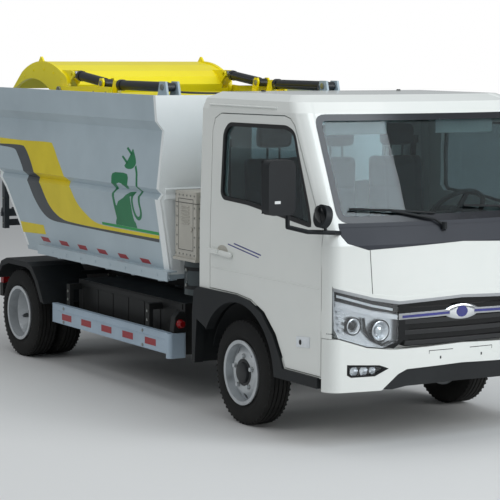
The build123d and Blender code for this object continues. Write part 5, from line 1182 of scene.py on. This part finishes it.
# %% Mirror glass, marks and the seals round the glass
MIRROR_X, PANE_HALF = 1165, 74
MIRROR_RIM = (  # inner and outer x, lower and upper z
    (1083, 1247, 1388, 1396), (1083, 1247, 1676, 1684), (1083, 1091, 1388, 1684), (1239, 1247, 1388, 1684))
glass, marks, seal = bmesh.new(), bmesh.new(), bmesh.new()
for side, _ in SIDES:
    brick(glass, side * (MIRROR_X - PANE_HALF), side * (MIRROR_X + PANE_HALF), -871.5, -867, 1400, 1672)
    brick(marks, side * 1176, side * 1214, -952.2, -950.5, 1446, 1462)
    for x0, x1, z0, z1 in MIRROR_RIM:
        brick(seal, side * x0, side * x1, -872, -865, z0, z1)
keep(glass, "mirror_glass_panes", mirror_glass, bevel=1.0)
keep(marks, "mirror_marks", white_film)
keep(seal, "mirror_rims", moulding, bevel=1.5)
shape = bmesh.new()
for side, _ in SIDES:
    turned(shape, [(0, 60), (6, 56), (14, 40), (18, 0)], (side * 951, -1012, 1374), (side * 1.0, 0.1, -0.2),
           36)
keep(shape, "round_mirror_glass", gloss_black)

# %% Roof: drip rails and plugs
shape = bmesh.new()
for side, _ in SIDES:
    slab(shape, [(side * 846, 1955), (side * 856, 1955), (side * 856, 1962), (side * 840, 1966)],
         "y", -380, 400)
keep(shape, "roof_drip_rails", cab_enamel, bevel=1.5)
shape = bmesh.new()
for x in (-520, 520):
    bar(shape, (x, 300, 2034), (x, 300, 2046), 16, 20, 12)
keep(shape, "roof_plugs", rubber)

# %% [markdown]
# ## Inside the cab
# The dashboard has a binnacle in front of the driver, a screen in the middle, air vents and a glove box.
# A light grab handle stands on each windscreen pillar. All of it is seen through tinted glass, so plain
# slabs with wide bevels are enough, and what the eye looks for are the edges that catch light.

# %% Dashboard details
VENT_X, VENT_SLATS = (-700, -190, 190, 700), 5
VENT_LOW, SLAT_PITCH = 1168, 11
dash, vents, screen = bmesh.new(), bmesh.new(), bmesh.new()
slab(dash, [(-880, 1278), (-760, 1330), (-640, 1318), (-600, 1240), (-640, 1190), (-880, 1240)],
     "x", 220, 590)
slab(dash, [(-700, 1258), (-600, 1186), (-640, 1000), (-700, 1000)], "x", -150, 150)
brick(dash, -640, -260, -640, -598, 1040, 1150)
keep(dash, "dash_binnacle_and_glove_box", trim_plastic, bevel=9.0)
slab(screen, [(-612, 1100), (-640, 1220), (-646, 1220), (-618, 1100)], "x", -105, 105)
slab(screen, [(-628, 1225), (-640, 1300), (-646, 1300), (-634, 1225)], "x", 270, 540)
keep(screen, "dash_screens", gloss_black, bevel=1.5)
for x in VENT_X:
    for step in range(VENT_SLATS):
        z = VENT_LOW + step * SLAT_PITCH
        brick(vents, x - 44, x + 44, -632 - step * 5, -612 - step * 5, z, z + 5)
keep(vents, "dash_vents", moulding, bevel=1.0)

# %% Label, grab handles and sun visors
shape = bmesh.new()
brick(shape, -330, -150, -905, -901, 1292, 1316)
keep(shape, "dash_blank_label", yellow_film)
grabs = [[(side * 742, -800, 1400), (side * 716, -790, 1410),
          (side * 690, -660, 1640), (side * 700, -640, 1668)]
         for side, _ in SIDES]
pipe("pillar_grab_handles", grabs, 12, warm_light)
shape = bmesh.new()
for side, _ in SIDES:
    brick(shape, side * 180, side * 620, -560, -548, 1800, 1900)
keep(shape, "sun_visors", white_film, bevel=8.0)

# %% Seat boxes, headrest posts and belts
POST_OFF, POST_R = 45, 7
shape = bmesh.new()
for x, width in ((-470, 400), (0, 290), (470, 400)):
    brick(shape, x - width / 2, x + width / 2, -290, 190, 861, 1030)
    for post in (-POST_OFF, POST_OFF):
        bar(shape, (x + post, 248, 1600), (x + post, 248, 1720), POST_R, 12)
keep(shape, "seat_boxes_and_posts", trim_plastic, bevel=8.0)
shape = bmesh.new()
for side, _ in SIDES:
    slab(shape, [(side * 742, 1700), (side * 742, 900), (side * 694, 900), (side * 694, 1700)], "y", 396, 399)
    brick(shape, side * 690, side * 746, 386, 412, 1690, 1740)
keep(shape, "belt_straps_at_the_pillars", rubber)

# %% [markdown]
# ## Seats
# Each seat is three pads: cushion, back and headrest. The pads start a little small, are remeshed, and a
# short cloth simulation with inner pressure rounds them as stuffing does. How far a point may move is
# capped, so a pad stays between its neighbours. Seams are pressed in afterwards. Sculpting could do this
# too, but a simulation swells every pad in the same way.

# %% Pads blown up by cloth simulation
VOXEL_MM, REACH_MM = 17.0, 14.0
PRESSURE, CLOTH_STEPS = 4.0, 20


def pad(bm, outline, low, high, round_mm):
    """Rounded block from a side outline of (y, z) between two x values."""
    verts = slab(bm, outline, "x", low, high)
    edges = list({edge for vert in verts for edge in vert.link_edges})
    bmesh.ops.bevel(bm, geom=verts + edges, offset=round_mm / 1000, affect="EDGES", segments=3, profile=0.5,
                    material=-1)


def swap(holder, mesh):
    """Gives an object a finished mesh in place of its modifiers."""
    holder.modifiers.clear()
    holder.data = mesh


def shown(holder):
    """Mesh of an object with its modifiers worked out."""
    return bpy.data.meshes.new_from_object(holder.evaluated_get(bpy.context.evaluated_depsgraph_get()))


def stuffed(bm, name):
    """Remeshes the pads, inflates them by pressure and returns the mesh."""
    flat = bpy.data.meshes.new(name + "_cut")
    bmesh.ops.recalc_face_normals(bm, faces=bm.faces)
    bm.to_mesh(flat)
    bm.free()
    cut = bpy.data.objects.new(name + "_cut", flat)
    bpy.context.collection.objects.link(cut)
    even = cut.modifiers.new("even", "REMESH")
    even.mode = "VOXEL"
    even.voxel_size = VOXEL_MM / 1000
    swap(cut, shown(cut))
    start = [vert.co.copy() for vert in cut.data.vertices]
    cloth = cut.modifiers.new("cloth", "CLOTH")
    cloth.settings.use_pressure = True
    cloth.settings.uniform_pressure_force = PRESSURE
    cloth.settings.effector_weights.gravity = 0.0
    cloth.settings.quality = 5
    for step in range(1, CLOTH_STEPS + 1):
        bpy.context.scene.frame_set(step)
    swap(cut, shown(cut))
    for vert, origin in zip(cut.data.vertices, start):
        move = vert.co - origin
        if move.length > REACH_MM / 1000:
            move = move.normalized() * REACH_MM / 1000
        vert.co = origin + move
    bpy.context.scene.frame_set(1)
    smooth = cut.modifiers.new("smooth", "SUBSURF")
    smooth.levels = smooth.render_levels = 1
    done = shown(cut)
    bpy.data.objects.remove(cut)
    return done


SEATS = ((-470, 440), (0, 312), (470, 440))  # middle and width
HEADREST_HALF = 118
pads = bmesh.new()
for x, width in SEATS:
    low, high = x - width / 2, x + width / 2
    pad(pads, [(-318, 1036), (-326, 1110), (-290, 1142), (110, 1124), (150, 1040)], low, high, 30)
    pad(pads, [(168, 1130), (214, 1600), (240, 1640), (292, 1630), (292, 1300), (240, 1110)],
        low + 8, high - 8, 26)
    pad(pads, [(200, 1690), (196, 1800), (224, 1836), (284, 1828), (292, 1690)],
        x - HEADREST_HALF, x + HEADREST_HALF, 24)
cushions = stuffed(pads, "seat_pads")
print("seat pads", len(cushions.vertices), "points")

# %% Seams of the pads
SEAM_HALF, SEAM_DEEP = 12, 0.006  # millimetres to each side, metres deep
SEAM_X, BACK_SEAM_Z, CUSHION_SEAM_Y = 118, 1420, -60
HEADREST_LOW = 1660
FAR = 99
for vert in cushions.vertices:
    y, z = (vert.co.y - AXLE_Y) * 1000, vert.co.z * 1000
    x = vert.co.x * 1000
    centre = min((middle for middle, _ in SEATS), key=lambda mid: abs(x - mid))
    lengthwise = abs(abs(x - centre) - SEAM_X)
    across_back = abs(z - BACK_SEAM_Z) if y > 160 and z < HEADREST_LOW else FAR
    across_cushion = abs(y - CUSHION_SEAM_Y) if z < 1200 else FAR
    seam = min(lengthwise, across_back, across_cushion)
    if seam < SEAM_HALF and z < HEADREST_LOW:
        vert.co -= vert.normal * SEAM_DEEP * (1 - seam / SEAM_HALF)
print("seams pressed in", SEAM_DEEP * 1000, "mm deep")

# %% [markdown]
# ## Woven seat cover
# Truck seats wear a plain, hard-wearing cloth of two close greys. Two crossed wave patterns stand for its
# threads, because they cost nothing and lie still on the pads. A real thread is about 1 mm; it is drawn
# at 3 mm, or it wouldn't show through the window.

# %% Woven seat cover
THREAD_MM, WEAVE_DEEP = 3.0, 0.0006
BANDS_PER_METRE = 6.3  # light and dark bands of a wave texture at scale 1


def weave(name, colour, other):
    """Fabric of crossing threads with a soft sheen."""
    material, tree = blank(name)
    where = add(tree, "ShaderNodeTexCoord").outputs["Object"]
    waves = {"Scale": 1000 / THREAD_MM / BANDS_PER_METRE, "Distortion": 0.4}
    across = add(tree, "ShaderNodeTexWave", waves, {"Vector": where}, bands_direction="X")
    along = add(tree, "ShaderNodeTexWave", waves, {"Vector": where}, bands_direction="Z")
    cross = add(tree, "ShaderNodeMath", links={0: across.outputs["Fac"], 1: along.outputs["Fac"]},
                operation="MULTIPLY")
    base = add(tree, "ShaderNodeMix", {6: shade(colour), 7: shade(other)}, {0: cross.outputs[0]},
               data_type="RGBA")
    relief = add(tree, "ShaderNodeBump", {"Strength": 0.6, "Distance": WEAVE_DEEP},
                 {"Height": cross.outputs[0]})
    body = add(tree, "ShaderNodeBsdfPrincipled",
               {"Roughness": 0.85, "Sheen Weight": 0.2, "Sheen Roughness": 0.5},
               {"Base Color": base.outputs[2], "Normal": relief.outputs["Normal"]})
    add(tree, "ShaderNodeOutputMaterial", links={"Surface": body.outputs["BSDF"]})
    return material


seat_cover = weave("dark_grey_woven_fabric", "23282D", "31373D")
settle(cushions, "seat_pads", seat_cover, "root", stands_for=["seats"], sharp=180)

# %% [markdown]
# ## Wheels
# Each wheel has a dark hub cover, five hexagon nuts on a ring of bolts, and a valve. The cover is turned
# like the real one; a nut is a washer, a hexagon and the end of its bolt. The rear cover is long, because
# the outer rim of a twin wheel is dished inward.

# %% Hub covers, nuts and valves
BOLTS, BOLT_CIRCLE_R, VALVE_CIRCLE_R = 5, 101.5, 168
NUT_PARTS = (  # start and end from the rim's face, radius, sides
    (-3, 2, 16, 24), (0, 13, 12.5, 6), (12, 16, 7, 16))
HUBS = (  # axle, x of the rim's face, y, profile of the cover
    ("front", 832.0, 0.0, [(-2, 84), (3, 84), (5, 78), (5, 66), (20, 62), (25, 52), (25, 0)]),
    ("rear", 738.5, WHEELBASE, [(-2, 86), (3, 86), (5, 80), (5, 68), (48, 66), (54, 60), (60, 46), (80, 44),
                                (86, 36), (86, 0)]))


def round_axle(y, radius, degrees):
    """Y and z at an angle round an axle."""
    angle = math.radians(degrees)
    return y + radius * math.cos(angle), TYRE_R + radius * math.sin(angle)


for axle, face, y, profile in HUBS:
    for side, word in SIDES:
        hub, nuts, valve = bmesh.new(), bmesh.new(), bmesh.new()
        turned(hub, profile, (side * face, y, TYRE_R), (side, 0, 0), 56)
        for index in range(BOLTS):
            a, b = round_axle(y, BOLT_CIRCLE_R, 90 + 360 / BOLTS * index)
            for start, end, radius, sides in NUT_PARTS:
                bar(nuts, (side * (face + start), a, b), (side * (face + end), a, b), radius, sides)
        a, b = round_axle(y, VALVE_CIRCLE_R, 90 + 36)
        bar(valve, (side * (face - 30), a, b), (side * (face + 2), a, b), 4.5, 12)
        keep(hub, f"hub_cover_{axle}_{word}", cylinder_enamel, f"{axle}_wheel_{word}")
        keep(nuts, f"wheel_nuts_{axle}_{word}", steel, f"{axle}_wheel_{word}")
        keep(valve, f"valve_{axle}_{word}", rubber, f"{axle}_wheel_{word}")

# %% [markdown]
# ## Packer and cylinders
# Pins end in round heads, and the blade's pin has a round plate held by six bolts. Pipes of rigid steel
# run along each barrel to its far port, and one crosses the front deck. The blade's pin, the foot of the
# swing cylinder and the lifter's pin are read from the frame's joints, so those heads lie on their pins.
# The deck's pin, the pipes and the bolts are measured from the solids. Each piece rides on the body that
# carries it.

# %% Pin heads on the deck, the carriage and the blade
CYLINDER_X = 640
DECK_PIN = (1300, 2044)
CARRIAGE_FACE_X = 731
CARRIAGE_BOLTS = ((2050, 1880), (2050, 1990), (2240, 1880), (2240, 1990), (2500, 1900), (2640, 1900))
deck, carriage = bmesh.new(), bmesh.new()
for x in (-CYLINDER_X, CYLINDER_X):
    for cheek in (-1, 1):
        for start, end, radius, sides in ((53, 62, 21, 24), (60, 64, 9, 6)):
            bar(deck, (x + cheek * start, *DECK_PIN), (x + cheek * end, *DECK_PIN), radius, sides)
        bar(carriage, (x + cheek * 52, *SWING_FOOT), (x + cheek * 60, *SWING_FOOT), 20, 24)
for side, _ in SIDES:
    stud(carriage, side * CARRIAGE_FACE_X, *BLADE_PIN, 13, 34, 28)
    for index in range(6):
        angle = math.tau * index / 6
        y, z = BLADE_PIN[0] + 25 * math.cos(angle), BLADE_PIN[1] + 25 * math.sin(angle)
        stud(carriage, side * (CARRIAGE_FACE_X + 12), y, z, 5, 4)
    for y, z in CARRIAGE_BOLTS:
        stud(carriage, side * CARRIAGE_FACE_X, y, z, 6, 8)
keep(deck, "deck_pin_heads", steel, "tub", 1.0)
keep(carriage, "carriage_pin_heads", steel, "carriage", 1.0)

# %% Bolts of the blade
BLADE_FACE_X = 700
BLADE_BOLTS = ((2830, 2070), (2960, 2112), (3120, 2138), (3300, 2128), (3460, 2080))
blade = bmesh.new()
for side, _ in SIDES:
    for y, z in BLADE_BOLTS:
        stud(blade, side * BLADE_FACE_X, y, z, 4.5, 9)
keep(blade, "blade_bolts", yellow_enamel, "blade", 1.0)

# %% Rigid pipes along the barrels
PIPE_R, PIPE_OFF = 7, 46
PORT_START_Y, PORT_END_Y = 1352, 1962
for x, word in ((-CYLINDER_X, "right"), (CYLINDER_X, "left")):
    inward = 1 if x < 0 else -1
    edge, port = x + inward * PIPE_OFF, x + inward * 24
    along_barrel = [(port, PORT_START_Y, 2034), (edge, 1360, 2030), (edge, 1420, 2030), (edge, 1900, 2030),
                    (edge, 1954, 2030), (port, PORT_END_Y, 2034)]
    across_deck = [(port, PORT_START_Y, 2058), (edge + inward * 4, 1356, 2052),
                   (edge + inward * 20, 1340, 2030), (edge + inward * 40, 1300, 2000), (0, 1300, 2000)]
    pipe(f"push_pipes_{word}", [along_barrel, across_deck], PIPE_R, cylinder_enamel, "tub")

# %% Pipes of the swing cylinders
SWING_HEAD = (2690, 2105)
SWING_OFF, SWING_PORTS = 8, (70, 412)
run = (Vector(SWING_HEAD) - Vector(SWING_FOOT)).normalized()
rise = Vector((-run.y, run.x))


def beside(along):
    """Y and z of a point along the swing cylinder, a little off its middle line."""
    spot = Vector(SWING_FOOT) + run * along + rise * SWING_OFF
    return spot.x, spot.y


shape = bmesh.new()
routes = []
for x in (-CYLINDER_X, CYLINDER_X):
    inward = 1 if x < 0 else -1
    edge, port = x + inward * PIPE_OFF, x + inward * 28
    near, far = SWING_PORTS
    routes.append([(port, *beside(near)), (edge, *beside(80)), (edge, *beside(120)), (edge, *beside(370)),
                   (edge, *beside(404)), (port, *beside(far))])
    for along in SWING_PORTS:
        bar(shape, (x + inward * 26, *beside(along)), (x + inward * 38, *beside(along)), 10, 6)
pipe("swing_pipes", routes, PIPE_R, cylinder_enamel, "swing_barrels")
keep(shape, "swing_barrel_ports", steel, "swing_barrels")

# %% Ports of the push barrels
shape = bmesh.new()
for x in (-CYLINDER_X, CYLINDER_X):
    inward = 1 if x < 0 else -1
    for y in (PORT_START_Y, PORT_END_Y):
        bar(shape, (x + inward * 24, y, 2034), (x + inward * 38, y, 2031), 10, 6)
keep(shape, "push_barrel_ports", steel, "tub")

# %% Bolts along the tub's top rails and welds on the front deck
shape = bmesh.new()
for side, _ in SIDES:
    for y in range(1460, 3600, 214):
        bar(shape, (side * 890, y, 1888), (side * 890, y, 1895), 9, 6)
keep(shape, "top_rail_bolts", steel, "tub")
shape = bmesh.new()
for y0, y1 in ((1150, 1156), (1220, 1226)):
    brick(shape, -560, 560, y0, y1, 1969, 1974)
keep(shape, "front_deck_welds", tub_enamel, "tub")

# %% [markdown]
# ## Rear end
# The lamps have red, amber and clear fields between dark frames. The underrun bar carries red and white
# film. Ribs stiffen the tub's slanted tail, and the lifter has pin heads, buffers and bolts. Nearly all of
# it is bricks, slabs and bars from short tables, since the rear is flat sheet and straight tube; only the
# rubber buffers are turned.

# %% Lamp fields and reflective film at the rear
LAMP_FACE, LAMP_FRAME = (3723.5, 3727), (3722, 3729)  # y from and to
FRAME_X, FRAME_Z = (524, 603, 663, 784), (484, 565)
FILM_START, FILM_PITCH, FILM_LENGTH = 90, 130, 120
amber, clear_field, film_red, film_white, frames = (bmesh.new() for _ in range(5))
for side, _ in SIDES:
    brick(amber, side * 530, side * 600, *LAMP_FACE, 490, 562)
    brick(clear_field, side * 606, side * 660, *LAMP_FACE, 490, 562)
    for x in FRAME_X:
        brick(frames, side * (x - 2), side * (x + 2), *LAMP_FRAME, 484, 568)
    for z in FRAME_Z:
        brick(frames, side * 522, side * 788, *LAMP_FRAME, z, z + 4)
    for index in range(5):
        x = FILM_START + index * FILM_PITCH
        colour = film_red if index % 2 else film_white
        brick(colour, side * x, side * (x + FILM_LENGTH), 3719.5, 3721.4, 410, 450)
keep(amber, "tail_lamp_amber", amber_lens)
keep(clear_field, "tail_lamp_clear", warm_light)
keep(frames, "tail_lamp_frames", gloss_black)
keep(film_red, "underrun_red_film", red_reflex)
keep(film_white, "underrun_white_film", white_film)

# %% Ribs of the slanted tail
TAIL_RIB_X, TAIL_RIB_HALF, TAIL_BEAM_HALF = (-780, -300, 300, 780), 26, 840
shape = bmesh.new()
for x in TAIL_RIB_X:
    slab(shape, [(3160, 838), (3394, 1242), (4012, 1858), (4036, 1846), (3420, 1226), (3190, 826)], "x",
         x - TAIL_RIB_HALF, x + TAIL_RIB_HALF)
for beam in ([(3530, 1372), (3556, 1350), (3584, 1378), (3560, 1400)],
             [(3800, 1642), (3826, 1620), (3854, 1648), (3830, 1672)]):
    slab(shape, beam, "x", -TAIL_BEAM_HALF, TAIL_BEAM_HALF)
keep(shape, "tail_ribs", tub_enamel, "tub", 2.0)

# %% Pin heads, buffers and bolts of the lifter
ARM_X, ARM_FACE = 560, 20
shape = bmesh.new()
for x in (-ARM_X, ARM_X):
    for cheek in (-1, 1):
        bar(shape, (x + cheek * ARM_FACE, *LIFTER_PIN), (x + cheek * 27, *LIFTER_PIN), 32, 24)
    for z in (1240, 1100, 900):
        for cheek in (-1, 1):
            bar(shape, (x + cheek * ARM_FACE, 4132, z), (x + cheek * 26, 4132, z), 9, 6)
keep(shape, "lifter_pin_heads", steel, "bin_lifter", 1.0)
shape = bmesh.new()
for x in (-420, 420):
    turned(shape, [(0, 30), (22, 30), (30, 22), (30, 0)], (x, 4144, 905), (0, 1, 0), 28)
keep(shape, "lifter_buffers", rubber, "bin_lifter")
shape = bmesh.new()
for x in range(-480, 600, 120):
    bar(shape, (x, 4143, 1370), (x, 4151, 1370), 9, 6)
keep(shape, "lifter_plate_bolts", steel, "bin_lifter")

# %% [markdown]
# ## Chassis
# The frame carries bolts along its rails, clamps round the springs and brake pipes, and behind the front
# wheel an isolator switch with a red knob. Bolts are short six-sided bars: a hexagon is all that shows of
# one from here, and many of them stay light.

# %% Bolts, clamps and pipes on the frame
RAIL_FACE_X, SPRING_X = 339, 400
BATTERY_START, BATTERY_END = 880, 2480  # no bolt shows between these
CLAMPS = (  # y, lower and upper end, radius
    (-120, 380, 470, 9), (120, 380, 470, 9), (WHEELBASE - 90, 330, 480, 11), (WHEELBASE + 90, 330, 480, 11))
shape = bmesh.new()
for side, _ in SIDES:
    for y in range(-780, 3520, 142):
        if not BATTERY_START < y < BATTERY_END:
            for z in (524, 616):
                stud(shape, side * RAIL_FACE_X, y, z, 6, 9)
    for y, low, high, radius in CLAMPS:
        bar(shape, (side * SPRING_X, y, low), (side * SPRING_X, y, high), radius, 12)
keep(shape, "frame_bolts_and_spring_clamps", steel)
brakes = [[(side * 330, -700, 650), (side * 320, -300, 652), (side * 320, 1200, 652), (side * 320, 2700, 652)]
          for side, _ in SIDES]
pipe("brake_pipes", brakes, 6, cylinder_enamel, order=2)

# %% Isolator switch
shape = bmesh.new()
slab(shape, [(-742, 452), (-842, 452), (-842, 470), (-830, 560), (-800, 592), (-760, 592), (-744, 540)],
     "y", 872, 930)
keep(shape, "isolator_box", frame_enamel, bevel=6.0)
shape = bmesh.new()
turned(shape, [(-2, 30), (-14, 30), (-20, 26), (-34, 24), (-40, 18), (-40, 0)], (-794, 874, 514),
       (0, 1, 0), 32)
keep(shape, "isolator_red_knob", red_lens)

# %% Battery lids and ribs
BATTERY_X, LID_X, BATTERY_RIB_X = 739, 746, 744
shape = bmesh.new()
for side, _ in SIDES:
    for low, high in ((596, 632), (306, 318)):
        brick(shape, side * BATTERY_X, side * LID_X, 930, 2430, low, high)
    for y in range(1000, 2400, 230):
        brick(shape, side * BATTERY_X, side * BATTERY_RIB_X, y, y + 26, 330, 590)
keep(shape, "battery_covers", frame_enamel, bevel=2.0)
